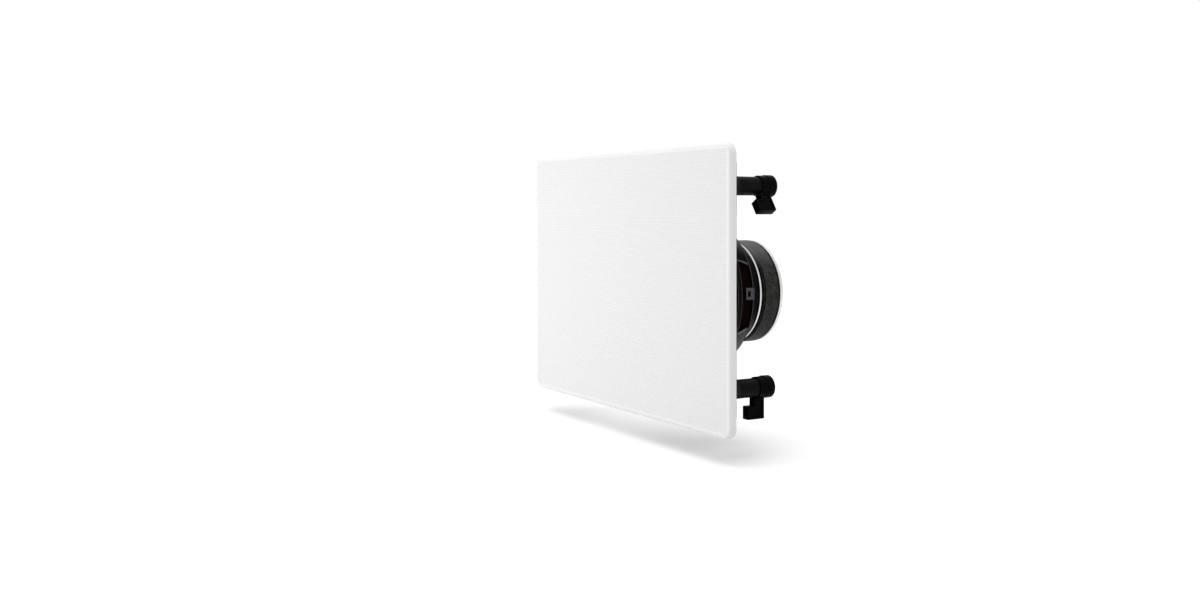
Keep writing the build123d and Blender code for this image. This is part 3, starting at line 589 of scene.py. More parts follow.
class Stuff(Enum):
    """Every finish on the speaker."""

    # The grille's second colour is the holes' tone: painted shade of the cloth behind them.
    GRILLE = Perforated("grille_paint", (0.90, 0.90, 0.897), (0.78, 0.782, 0.785), (0.42, 0.6),
                        specular=0.35, bump=0.5, depth=0.0002, edge=0.0005)
    SCRIM = Woven("scrim_cloth", (0.55, 0.55, 0.54), (0.80, 0.80, 0.79), (0.8, 0.9), specular=0.2, bump=0.5)
    NICKEL = Finish("nickel", (0.62, 0.60, 0.56), (0.70, 0.68, 0.64), (0.18, 0.3), metallic=1.0, bump=0.05)
    FRAME = Moulded("frame_plastic", (0.003, 0.003, 0.0033), (0.005, 0.005, 0.0054), (0.30, 0.42),
                    specular=0.04, fine=2200.0, bump=0.3, edge=0.0006, edge_wear_and_highlight_colour=(0.05, 0.05, 0.052))
    # Basket: dust with painted top light on its top faces, and painted floor bounce on faces that look down.
    BASKET = Finish("basket_paint", (0.0025, 0.0025, 0.003), (0.005, 0.0046, 0.0055), (0.42, 0.56),
                    specular=0.002, fine=2600.0, bump=0.35, depth=0.00006,
                    edge_wear_and_highlight_colour=(0.07, 0.066, 0.074), edge_share=0.6, dust=(1.0, 0.7))
    LUG = Finish("lug_paint", (0.062, 0.054, 0.066), (0.098, 0.088, 0.104), (0.42, 0.55), specular=0.1,
                 fine=1500.0, bump=0.3, edge=0.0002, edge_wear_and_highlight_colour=(0.16, 0.15, 0.165))
    # Near-black beads that paint the shade at the motor's plate and magnet; their dust setting adds dust with
    # painted top light on their tops.
    GLUE = Finish("motor_shade_bead", (0.0022, 0.0022, 0.0022), (0.004, 0.004, 0.004), (0.30, 0.45), specular=0.002,
                  fine=500.0, bump=0.5, depth=0.0002, dust=(0.8, 0.0))
    GASKET = Finish("gasket_foam", (0.012, 0.012, 0.012), (0.03, 0.03, 0.03), (0.85, 0.95), specular=0.15,
                    fine=2400.0, bump=0.8, depth=0.0002)
    SURROUND = Finish("surround_rubber", (0.012, 0.012, 0.013), (0.018, 0.018, 0.019), (0.48, 0.62),
                      specular=0.3, fine=1800.0, bump=0.15)
    CONE = Turned("cone_poly", (0.009, 0.009, 0.009), (0.016, 0.015, 0.014), (0.38, 0.5), specular=0.2,
                  rings=2600.0, bump=0.2)
    CAP = Finish("cap_poly", (0.016, 0.016, 0.017), (0.022, 0.022, 0.023), (0.22, 0.32), bump=0.1)
    FOIL = Turned("former_foil", (0.50, 0.33, 0.14), (0.62, 0.44, 0.22), (0.3, 0.45), metallic=0.6, bump=0.1)
    COPPER = Turned("copper", (0.60, 0.25, 0.11), (0.72, 0.34, 0.17), (0.25, 0.4), metallic=1.0,
                    rings=18000.0, bump=0.6, depth=0.0001)
    SPIDER = Woven("spider_cloth", (0.016, 0.007, 0.005), (0.034, 0.015, 0.010), (0.75, 0.9), specular=0.05,
                   threads=5200.0, bump=0.7, depth=0.0001)
    ZINC = Turned("zinc", (0.70, 0.70, 0.69), (0.58, 0.585, 0.59), (0.20, 0.36), metallic=1.0, bump=0.12,
                  edge_wear_and_highlight_colour=(0.80, 0.80, 0.80))
    TWEETER_ZINC = Turned("tweeter_zinc", (0.66, 0.66, 0.65), (0.54, 0.545, 0.55), (0.22, 0.38), metallic=1.0,
                          bump=0.12, edge_wear_and_highlight_colour=(0.80, 0.80, 0.80), centre=(-0.072, 0.0))
    # Ferrite: dust with painted top light on its upper side.
    FERRITE = Sintered("ferrite", (0.004, 0.005, 0.0042), (0.044, 0.049, 0.043), (0.5, 0.72), specular=0.12,
                       bump=0.5, depth=0.0001, edge_wear_and_highlight_colour=(0.10, 0.105, 0.10), edge_share=0.4,
                       dust=(0.3, 0.0))
    FIBRE = Finish("tag_fibre", (0.20, 0.10, 0.045), (0.28, 0.15, 0.07), (0.6, 0.75), bump=0.3)
    BRASS = Finish("brass", (0.66, 0.50, 0.24), (0.72, 0.60, 0.34), (0.25, 0.4), metallic=1.0, bump=0.1)
    BLACK_SCREW = Turned("black_screw", (0.018, 0.018, 0.019), (0.035, 0.034, 0.034), (0.3, 0.45),
                         metallic=0.5, bump=0.15, edge_wear_and_highlight_colour=(0.16, 0.16, 0.16))
    POD = Finish("pod_plastic", (0.011, 0.011, 0.012), (0.016, 0.016, 0.017), (0.35, 0.45), specular=0.4)
    DOME = Woven("dome_silk", (0.014, 0.014, 0.016), (0.032, 0.032, 0.036), (0.5, 0.62), specular=0.4,
                 threads=9000.0, bump=0.4)
    CLAMP = Finish("clamp_plastic", (0.0022, 0.0022, 0.0024), (0.0038, 0.0038, 0.0042), (0.16, 0.26),
                   specular=0.015, fine=2400.0, bump=0.2, edge=0.0003, edge_wear_and_highlight_colour=(0.012, 0.012, 0.013),
                   edge_share=0.35)
    BOARD = Finish("board_resist", (0.012, 0.085, 0.035), (0.020, 0.12, 0.05), (0.28, 0.4), fine=700.0,
                   bump=0.1)
    BOBBIN = Finish("bobbin_nylon", (0.72, 0.70, 0.64), (0.78, 0.76, 0.70), (0.4, 0.5))
    FILM = Finish("capacitor_film", (0.62, 0.28, 0.03), (0.70, 0.36, 0.06), (0.16, 0.26), coat=0.3)
    CERAMIC = Finish("resistor_ceramic", (0.70, 0.69, 0.65), (0.78, 0.77, 0.73), (0.8, 0.9), bump=0.6,
                     depth=0.0001)
    BLOCK = Finish("block_plastic", (0.011, 0.011, 0.012), (0.017, 0.017, 0.018), (0.4, 0.5), specular=0.3)
    RED = Finish("button_red", (0.50, 0.015, 0.015), (0.58, 0.025, 0.022), (0.28, 0.38))
    BLACK = Finish("button_black", (0.012, 0.012, 0.012), (0.018, 0.018, 0.018), (0.28, 0.38))
    LEAD_BLACK = Finish("lead_sheath", (0.011, 0.011, 0.011), (0.017, 0.017, 0.017), (0.4, 0.5),
                        specular=0.35)
    LEAD_RED = Finish("lead_sheath_red", (0.40, 0.012, 0.012), (0.47, 0.02, 0.018), (0.38, 0.48),
                      specular=0.4)
    BRAID = Woven("tinsel_braid", (0.46, 0.26, 0.13), (0.62, 0.40, 0.24), (0.35, 0.5), metallic=0.9,
                  threads=11000.0, bump=0.8, depth=0.0001)


CAD_FINISHES: dict[Stuff, tuple[str, ...]] = {
    Stuff.GRILLE: ("grille",),
    Stuff.SCRIM: ("grille_scrim",),
    Stuff.NICKEL: ("grille_magnets",),
    Stuff.FRAME: ("frame",),
    Stuff.BASKET: ("woofer_basket",),
    Stuff.GASKET: ("woofer_gasket",),
    Stuff.SURROUND: ("woofer_surround",),
    Stuff.CONE: ("woofer_cone",),
    Stuff.CAP: ("woofer_dust_cap",),
    Stuff.FOIL: ("coil_former",),
    Stuff.COPPER: ("voice_coil", "inductor_winding", "tweeter_coil"),
    Stuff.SPIDER: ("spider",),
    Stuff.ZINC: ("top_plate", "pole_yoke"),
    Stuff.TWEETER_ZINC: ("tweeter_plate", "tweeter_yoke", "tweeter_pins"),
    Stuff.FERRITE: ("ferrite_magnet", "tweeter_magnet"),
    Stuff.FIBRE: ("woofer_tag_board",),
    Stuff.BRASS: ("woofer_tags",),
    Stuff.BLACK_SCREW: ("woofer_screws", "board_screws", "block_screws", "clamp_screw_upper_right",
                        "clamp_screw_upper_left", "clamp_screw_lower_right", "clamp_screw_lower_left"),
    Stuff.POD: ("tweeter_pod",),
    Stuff.DOME: ("tweeter_dome",),
    Stuff.CLAMP: ("clamp_upper_right", "clamp_upper_left", "clamp_lower_right", "clamp_lower_left"),
    Stuff.BOARD: ("crossover_board",),
    Stuff.BOBBIN: ("inductor_bobbin",),
    Stuff.FILM: ("capacitors",),
    Stuff.CERAMIC: ("resistor",),
    Stuff.BLOCK: ("terminal_block",),
    Stuff.RED: ("terminal_button_red",),
    Stuff.BLACK: ("terminal_button_black",),
    Stuff.LEAD_BLACK: ("input_leads", "woofer_leads", "tweeter_leads"),
    Stuff.BRAID: ("tinsel_leads",),
}


def dress_cad_nodes() -> None:
    """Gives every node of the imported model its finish."""
    for stuff, names in CAD_FINISHES.items():
        for name in names:
            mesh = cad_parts[name].data
            mesh.materials.clear()
            mesh.materials.append(stuff.value.material())
            LOG.info("finish %s on %s", stuff.value.name, name)


def put(name: str, data: bpy.types.ID) -> bpy.types.Object:
    """Stands an object in the scene.

    Args:
        name: its name.
        data: its mesh, curve, lamp or camera.

    Returns:
        The object, at the origin.
    """
    made = bpy.data.objects.new(name, data)
    bpy.context.scene.collection.objects.link(made)
    return made


class Workpiece:
    """A mesh that is shaped in the part's own frame and then joined to a body."""

    weld: ClassVar[float] = 1e-7

    def __init__(self, name: str) -> None:
        """Starts an empty mesh."""
        self.name = name
        self.bm = bmesh.new()

    def lathe(self, profile: Profile, centre: Vector, steps: int = 96, turn: float = 360.0,
              first: float = 0.0, place: Matrix = Matrix()) -> None:
        """Spins a profile about an axis along Y.

        Args:
            profile: radius and depth of each point, in millimetres; a closed one repeats its first point.
            centre: a point of the axis.
            steps: how many facets the turn has.
            turn: how far it goes, in degrees.
            first: the angle at which it starts, from +X towards +Z.
            place: where the axis is moved to, and how it is turned.
        """
        start = place @ Matrix.Translation(centre) @ Matrix.Rotation(-math.radians(first), 4, "Y")
        closed = profile[0] == profile[-1]
        points = profile[:-1] if closed else profile
        verts = [self.bm.verts.new(start @ mm(r, y, 0.0)) for r, y in points]
        pairs = zip(verts, verts[1:] + verts[:1] if closed else verts[1:])
        edges = [self.bm.edges.new(pair) for pair in pairs]
        axis = place.to_3x3() @ Vector((0, 1, 0))
        bmesh.ops.spin(self.bm, geom=verts + edges, cent=place @ centre, axis=axis,
                       angle=-math.radians(turn), steps=steps, use_merge=turn >= 360.0)

    def take(self, other: bmesh.types.BMesh) -> None:
        """Adds another mesh to this one and frees it.

        Args:
            other: the mesh to take in.
        """
        loose = bpy.data.meshes.new("loose")
        other.to_mesh(loose)
        other.free()
        self.bm.from_mesh(loose)
        bpy.data.meshes.remove(loose)

    def finish(self, stuff: Stuff, smooth: float = 40.0) -> bpy.types.Object:
        """Turns the mesh into an object at the origin.

        Args:
            stuff: its finish.
            smooth: the sharpest angle that is shaded smooth, in degrees.

        Returns:
            The object, which rides on nothing yet.
        """
        bmesh.ops.remove_doubles(self.bm, verts=self.bm.verts[:], dist=self.weld)
        bmesh.ops.recalc_face_normals(self.bm, faces=self.bm.faces[:])
        mesh = bpy.data.meshes.new(self.name)
        self.bm.to_mesh(mesh)
        self.bm.free()
        mesh.polygons.foreach_set("use_smooth", [True] * len(mesh.polygons))
        mesh.set_sharp_from_angle(angle=math.radians(smooth))
        mesh.materials.append(stuff.value.material())
        LOG.info("piece %s: %d faces", self.name, len(mesh.polygons))
        return put(self.name, mesh)


def seat(piece: bpy.types.Object, body: str, slot: str, *nodes: str) -> bpy.types.Object:
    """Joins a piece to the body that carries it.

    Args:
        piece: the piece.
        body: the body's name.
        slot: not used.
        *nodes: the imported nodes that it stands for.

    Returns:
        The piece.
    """
    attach(piece, body)
    if nodes:
        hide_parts(*nodes)
    return piece


def bend(piece: bpy.types.Object, node: str) -> None:
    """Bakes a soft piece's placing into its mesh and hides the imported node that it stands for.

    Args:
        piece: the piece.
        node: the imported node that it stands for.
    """
    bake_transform(piece)
    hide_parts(node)


def grown_points(made: Mapping[str, Any]) -> list[bmesh.types.BMVert]:
    """Picks the new points out of what an extrusion made.

    Args:
        made: the extrusion's answer.

    Returns:
        The points that it added.
    """
    return [item for item in made["geom"] if isinstance(item, bmesh.types.BMVert)]


@dataclass
class Grille:
    """The pressed steel pan with its cloth, in millimetres."""

    width: float = 304.0
    height: float = 216.0
    corner: float = 9.0
    front: float = -6.0
    rim_end: float = -0.3
    edge_radius: float = 2.5
    sheet: float = 0.45
    scrim: Point = (278.0, 190.0)
    scrim_depth: float = -5.0

    def build_scrim(self) -> None:
        """Stretches the cloth behind the holes."""
        cloth = Workpiece("scrim_sheet")
        upright = Matrix.Translation(mm(0, self.scrim_depth, 0)) @ Matrix.Rotation(math.pi / 2, 4, "X")
        size = Matrix.Diagonal((self.scrim[0] / 1000, self.scrim[1] / 1000, 1.0, 1.0))
        bmesh.ops.create_grid(cloth.bm, x_segments=56, y_segments=38, size=0.5, matrix=upright @ size)
        sheet = seat(cloth.finish(Stuff.SCRIM), "grille", "scrim_cloth", "grille_scrim")

    def build_pan(self) -> None:
        """Presses the pan from one sheet."""
        pan = Workpiece("grille_pan")
        bm = pan.bm
        upright = Matrix.Translation(mm(0, self.rim_end, 0)) @ Matrix.Rotation(math.pi / 2, 4, "X")
        size = Matrix.Diagonal((self.width / 1000, self.height / 1000, 1.0, 1.0))
        bmesh.ops.create_grid(bm, x_segments=1, y_segments=1, size=0.5, matrix=upright @ size)
        bmesh.ops.bevel(bm, geom=bm.verts[:], offset=self.corner / 1000, segments=12, profile=0.5,
                        affect="VERTICES", material=-1)
        raised = grown_points(bmesh.ops.extrude_face_region(bm, geom=bm.faces[:]))
        bmesh.ops.translate(bm, verts=raised, vec=mm(0, self.front - self.rim_end, 0))
        middle = (self.front + self.rim_end) / 2000
        back = [face for face in bm.faces
                if face.calc_center_median().y > middle and abs(face.normal.y) > 0.9]
        bmesh.ops.delete(bm, geom=back, context="FACES_ONLY")
        fold = [edge for edge in bm.edges if all(vert.co.y < middle for vert in edge.verts)]
        bmesh.ops.bevel(bm, geom=fold, offset=self.edge_radius / 1000, segments=8, profile=0.5,
                        affect="EDGES", material=-1)
        bmesh.ops.recalc_face_normals(bm, faces=bm.faces[:])
        bmesh.ops.solidify(bm, geom=bm.faces[:], thickness=self.sheet / 1000)
        seat(pan.finish(Stuff.GRILLE), "grille", "grille_paint", "grille")

    def build(self) -> None:
        """Builds the pan and its cloth."""
        self.build_pan()
        self.build_scrim()


def arc(centre: Point, radius: float, first: float, last: float, count: int) -> list[Point]:
    """Gives points along a circle's arc for a profile.

    Args:
        centre: the circle's radius and depth in the profile, in millimetres.
        radius: its radius.
        first: the angle of the first point, in degrees from outward towards the back.
        last: the angle of the last point.
        count: how many points there are.

    Returns:
        The points, from the first angle to the last.
    """
    turns = [math.radians(first + (last - first) * k / (count - 1)) for k in range(count)]
    return [(centre[0] + radius * math.cos(a), centre[1] + radius * math.sin(a)) for a in turns]


class Corner(Enum):
    """The corners that carry a clamp: side, height, swing in degrees and slack in millimetres."""

    UPPER_RIGHT = (1, 1, -33.0, 2.0)
    UPPER_LEFT = (-1, 1, 0.0, 0.0)
    LOWER_RIGHT = (1, -1, 0.0, 0.0)
    LOWER_LEFT = (-1, -1, 0.0, 0.0)

    @property
    def tag(self) -> str:
        """The corner's part of a body's name."""
        return self.name.lower()


@dataclass
class SwingClamp:
    """A clamp on the end of its tower, with the screw that draws it forward, in millimetres."""

    corner: Corner
    tower: Point = (131.5, 75.8)
    raised: float = 1.1
    bore: float = 7.55
    sleeve: float = 8.05
    sleeve_front: float = 32.3
    cap: float = 8.5
    cap_front: float = 38.7
    end: float = 45.6
    cap_edge: float = 0.5
    cap_step: float = 0.1
    cap_inside: float = 43.4
    edge: float = 0.3
    screw_hole: float = 2.05
    hole_edge: float = 0.4
    arm_half: float = 3.35
    arm_top: float = -7.57
    arm_front: float = 29.8
    arm_back: float = 39.0
    reach: float = -23.4
    foot_front: float = 23.5
    foot_top: float = -13.4
    leg_edge: float = 0.5
    leg_side_area: float = 50.0
    pocket: float = 0.9
    pocket_border: float = 1.4
    pocket_draft: float = 0.3
    pitch: float = 0.8
    turn_shares: tuple[float, float, float] = (0.4, 0.55, 0.95)
    crest: float = 2.04
    root: float = 1.76
    thread_front: float = 9.4
    tip: float = 47.9
    tip_length: float = 1.0
    tip_radius: float = 1.2

    @property
    def axis(self) -> Vector:
        """A point of the screw's axis."""
        side, height, _, _ = self.corner.value
        return mm(side * self.tower[0], 0.0, self.raised + height * self.tower[1])

    def hub(self, work: Workpiece) -> None:
        """Turns the sleeve and the cap behind it.

        Args:
            work: the mesh that they go into.
        """
        rear = arc((self.cap - self.cap_edge, self.end - self.cap_edge), self.cap_edge, 0.0, 90.0, 7)
        work.lathe([
            (self.bore, self.sleeve_front), (self.sleeve - self.edge, self.sleeve_front),
            (self.sleeve, self.sleeve_front + self.edge), (self.sleeve, self.cap_front - self.cap_step),
            (self.cap - self.edge, self.cap_front), (self.cap, self.cap_front + self.edge), *rear,
            (self.screw_hole + self.hole_edge, self.end), (self.screw_hole, self.end - self.hole_edge),
            (self.screw_hole, self.cap_inside), (self.bore, self.cap_inside), (self.bore, self.sleeve_front),
        ], Vector(), steps=72)

    def leg(self, work: Workpiece) -> None:
        """Moulds the arm and its foot, with a pocket in each side.

        Args:
            work: the mesh that they go into.
        """
        part = bmesh.new()
        outline = [(self.arm_front, self.arm_top), (self.arm_front, self.foot_top),
                   (self.foot_front, self.foot_top), (self.foot_front, self.reach),
                   (self.arm_back, self.reach), (self.arm_back, self.arm_top)]
        face = part.faces.new([part.verts.new(mm(-self.arm_half, y, z)) for y, z in outline])
        far = grown_points(bmesh.ops.extrude_face_region(part, geom=[face]))
        bmesh.ops.translate(part, verts=far, vec=mm(2 * self.arm_half, 0.0, 0.0))
        bmesh.ops.bevel(part, geom=part.edges[:], offset=self.leg_edge / 1000, segments=3, profile=0.5,
                        affect="EDGES", material=-1)
        bmesh.ops.recalc_face_normals(part, faces=part.faces[:])
        least = self.leg_side_area / 1e6
        sides = [face for face in part.faces if abs(face.normal.x) > 0.99 and face.calc_area() > least]
        bmesh.ops.inset_individual(part, faces=sides, thickness=self.pocket_border / 1000,
                                   use_even_offset=True)
        bmesh.ops.inset_individual(part, faces=sides, thickness=self.pocket_draft / 1000,
                                   depth=-self.pocket / 1000, use_even_offset=True)
        work.take(part)

    def build_clamp(self) -> None:
        """Builds the clamp and swings it to its place."""
        _, _, swing, slack = self.corner.value
        work = Workpiece(f"swing_clamp_{self.corner.tag}")
        self.hub(work)
        self.leg(work)
        turn = Matrix.Rotation(math.radians(swing), 4, "Y")
        bmesh.ops.transform(work.bm, matrix=Matrix.Translation(self.axis + mm(0, slack, 0)) @ turn,
                            verts=work.bm.verts[:])
        name = f"clamp_{self.corner.tag}"
        seat(work.finish(Stuff.CLAMP, 30.0), name, "clamp_plastic", name)

    def build_thread(self) -> None:
        """Cuts the thread of the screw."""
        work = Workpiece(f"screw_thread_{self.corner.tag}")
        count = int((self.tip - self.tip_length - self.thread_front) / self.pitch)
        radii = (self.crest, self.crest, self.root)
        profile = [(self.root, self.thread_front)]
        for k in range(count):
            front = self.thread_front + k * self.pitch
            profile += [(radius, front + share * self.pitch)
                        for radius, share in zip(radii, self.turn_shares)]
        work.lathe([*profile, (self.tip_radius, self.tip), (0.0, self.tip)], self.axis, steps=20)
        seat(work.finish(Stuff.BLACK_SCREW, 25.0), f"clamp_screw_{self.corner.tag}", "black_screw")

    def build(self) -> None:
        """Builds the clamp and its screw's thread."""
        self.build_clamp()
        self.build_thread()


@dataclass
class Woofer:
    """The soft parts of the woofer and the trim of its basket and motor, in millimetres."""

    centre: Point = (57.0, -7.9)
    sectors: int = 16
    flange_front: float = 3.0
    sheet: float = 0.6
    surround_outer: float = 73.4
    roll_centre: float = 63.8
    roll: float = 5.2
    roll_flatness: float = 0.78
    surround_inner: float = 55.5
    surround_lip: float = 0.15
    gasket_inner: float = 70.0
    gasket_height: float = 1.6
    gasket_edge: float = 0.5
    spider_neck: float = 13.1
    spider_collar: float = 16.0
    spider_skirt: float = 47.0
    spider_outer: float = 52.5
    spider_back: float = 45.7
    spider_wave: float = 1.6
    spider_waves: int = 4
    lug_face: float = 56.0
    lug_raised: float = 2.0
    lug_lines: tuple[float, ...] = (38.7, 40.3, 42.9, 46.5)
    lug_rows: tuple[float, ...] = (-4.5, -2.2, 2.2, 4.5)
    lug_sheet: float = 0.25
    motor_radius: float = 41.8
    plate_front: float = 62.6
    # Dark beads at the top plate's front and at its joint with the magnet: painted shade.
    plate_shade_bead: Profile = ((-1.0, 0.0), (-0.5, -0.5), (0.0, -0.3), (0.1, 0.3), (0.06, 0.9), (0.0, 1.1),
                           (-0.4, 0.6), (-1.0, 0.0))
    magnet_front: float = 65.6
    magnet_shade_bead: Profile = ((-0.6, 0.0), (0.0, -0.2), (0.04, -0.4), (0.1, -0.2), (0.0, 0.2), (-1.0, 1.1),
                            (-0.4, 2.0), (0.03, 2.5), (0.06, 3.5), (0.0, 3.8), (-0.3, 2.2), (-0.6, 0.0))
    beads: tuple[tuple[float, float, float], ...] = (
        (70.0, 20.5, 0.22), (65.0, 28.0, 0.22), (56.0, 45.7, 0.34))

    @property
    def axis(self) -> Vector:
        """A point of the driver's axis."""
        return mm(self.centre[0], 0.0, self.centre[1])

    def surround_profile(self) -> list[Point]:
        """Gives the low half roll with its two flat edges, which clears the cloth at full travel.

        Returns:
            The closed profile.
        """
        back, front, lip = self.flange_front, self.flange_front - self.sheet, self.surround_lip
        outer, inner = self.surround_outer, self.surround_inner
        round_over = arc((self.roll_centre, 0.0), self.roll, 0.0, -180.0, 21)
        round_under = arc((self.roll_centre, 0.0), self.roll - self.sheet, -180.0, 0.0, 21)
        over = [(radius, front + self.roll_flatness * depth) for radius, depth in round_over]
        under = [(radius, front + self.roll_flatness * depth) for radius, depth in round_under]
        return [(outer, front + lip), (outer - lip, front), *over, (inner + lip, front), (inner, front + lip),
                (inner, back), *under, (outer, back), (outer, front + lip)]

    def spider_profile(self) -> list[Point]:
        """Gives the rounded folds between the collar and the skirt.

        Returns:
            The closed profile.
        """
        count = 48
        span = self.spider_skirt - self.spider_collar
        line = [(self.spider_neck, self.spider_back)]
        for k in range(count + 1):
            wave = math.sin(2 * math.pi * self.spider_waves * k / count)
            line.append((self.spider_collar + span * k / count, self.spider_back + self.spider_wave * wave))
        line.append((self.spider_outer, self.spider_back))
        front = [(radius, depth - self.sheet) for radius, depth in reversed(line)]
        return [*line, *front, line[0]]

    def ring_of_sectors(self, name: str, profile: Profile, stuff: Stuff,
                        node: str) -> None:
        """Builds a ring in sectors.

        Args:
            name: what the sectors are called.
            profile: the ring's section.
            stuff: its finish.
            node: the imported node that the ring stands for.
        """
        step = 360.0 / self.sectors
        for k in range(self.sectors):
            work = Workpiece(f"{name}_{k:02d}")
            work.lathe(profile, self.axis, steps=6, turn=step, first=k * step)
            piece = work.finish(stuff, 60.0)
            bend(piece, node)

    def build_gasket(self) -> None:
        """Builds the foam ring that clamps the surround."""
        seat_depth = self.flange_front - self.sheet
        edge = self.gasket_edge
        front = seat_depth - self.gasket_height
        round_out = arc((self.surround_outer - edge, front + edge), edge, 0.0, -90.0, 5)
        round_in = arc((self.gasket_inner + edge, front + edge), edge, -90.0, -180.0, 5)
        work = Workpiece("foam_gasket")
        work.lathe([(self.surround_outer, seat_depth), *round_out, *round_in, (self.gasket_inner, seat_depth),
                    (self.surround_outer, seat_depth)], self.axis, steps=120)
        seat(work.finish(Stuff.GASKET), "frame", "gasket_foam", "woofer_gasket")

    def build_lug(self) -> None:
        """Cuts the thin plate with a square hole that faces the basket's lug."""
        work = Workpiece("lug_plate")
        bm = work.bm
        half = 1.5
        bmesh.ops.create_grid(bm, x_segments=3, y_segments=3, size=half)
        middle = min(bm.faces, key=lambda face: face.calc_center_median().length)
        bmesh.ops.delete(bm, geom=[middle], context="FACES_ONLY")
        for vert in bm.verts:
            depth = self.lug_lines[round(vert.co.x + half)]
            height = self.lug_raised + self.lug_rows[round(vert.co.y + half)]
            vert.co = self.axis + mm(self.lug_face, depth, height)
        rims = [edge for edge in bm.edges if edge.is_boundary]
        raised = grown_points(bmesh.ops.extrude_edge_only(bm, edges=rims))
        bmesh.ops.translate(bm, verts=bm.verts[:], vec=mm(self.lug_sheet, 0.0, 0.0))
        bmesh.ops.translate(bm, verts=raised, vec=mm(-self.lug_sheet, 0.0, 0.0))
        seat(work.finish(Stuff.LUG, 30.0), "frame", "basket_paint")

    def build_shade_beads(self) -> None:
        """Runs dark beads round the front of the top plate and round its joint with the magnet, which paint
        the shade at these edges.
        """
        work = Workpiece("magnet_shade_bead")
        for front, bead in ((self.magnet_front, self.magnet_shade_bead), (self.plate_front, self.plate_shade_bead)):
            profile = [(self.motor_radius + out, front + back) for out, back in bead]
            work.lathe(profile, self.axis, steps=144)
        seat(work.finish(Stuff.GLUE, 60.0), "frame", "ferrite")

    def build_beads(self) -> None:
        """Rolls the thin beads that stiffen the basket's turned edges, in the lug's paler paint, which paints
        the highlights along those edges.
        """
        work = Workpiece("basket_beads")
        for radius, depth, half in self.beads:
            ring = arc((radius, depth), half, 0.0, 360.0, 11)
            work.lathe([*ring[:-1], ring[0]], self.axis, steps=144)
        # The beads' paler paint is a painted highlight on the basket's black edges.
        seat(work.finish(Stuff.LUG, 60.0), "frame", "basket_paint")

    def build(self) -> None:
        """Builds the surround, the spider, the gasket and the trim of the basket and the motor."""
        self.ring_of_sectors("rubber_surround", self.surround_profile(), Stuff.SURROUND,
                             "woofer_surround")
        self.ring_of_sectors("spider_cloth", self.spider_profile(),
                             Stuff.SPIDER, "spider")
        self.build_gasket()
        self.build_lug()
        self.build_shade_beads()
        self.build_beads()


@dataclass
class Tweeter:
    """The soft dome of the tweeter, in millimetres."""

    centre: Point = (-72.0, 0.0)
    seat_depth: float = 9.2
    radius: float = 12.7
    rise: float = 5.2
    sheet: float = 0.4
    flange: float = 18.0
    bead: Profile = ((0.15, -0.25), (0.4, -0.2), (0.6, 0.0))

    def build(self) -> None:
        """Builds the silk dome with its bead and its glue ring."""
        ball = (self.radius**2 + self.rise**2) / (2 * self.rise)
        half = math.degrees(math.asin(self.radius / ball))
        pole = self.seat_depth - self.rise + ball
        front = arc((0.0, pole), ball, -90.0, half - 90.0, 20)
        back = arc((0.0, pole), ball - self.sheet, half - 90.0, -90.0, 20)
        bead = [(self.radius + out, self.seat_depth + depth) for out, depth in self.bead]
        work = Workpiece("silk_dome")
        rim = [(self.flange, self.seat_depth), (self.flange, self.seat_depth + self.sheet)]
        work.lathe([*front, *bead, *rim, *back], mm(self.centre[0], 0.0, self.centre[1]), steps=72)
        seat(work.finish(Stuff.DOME), "tweeter", "dome_silk", "tweeter_dome")


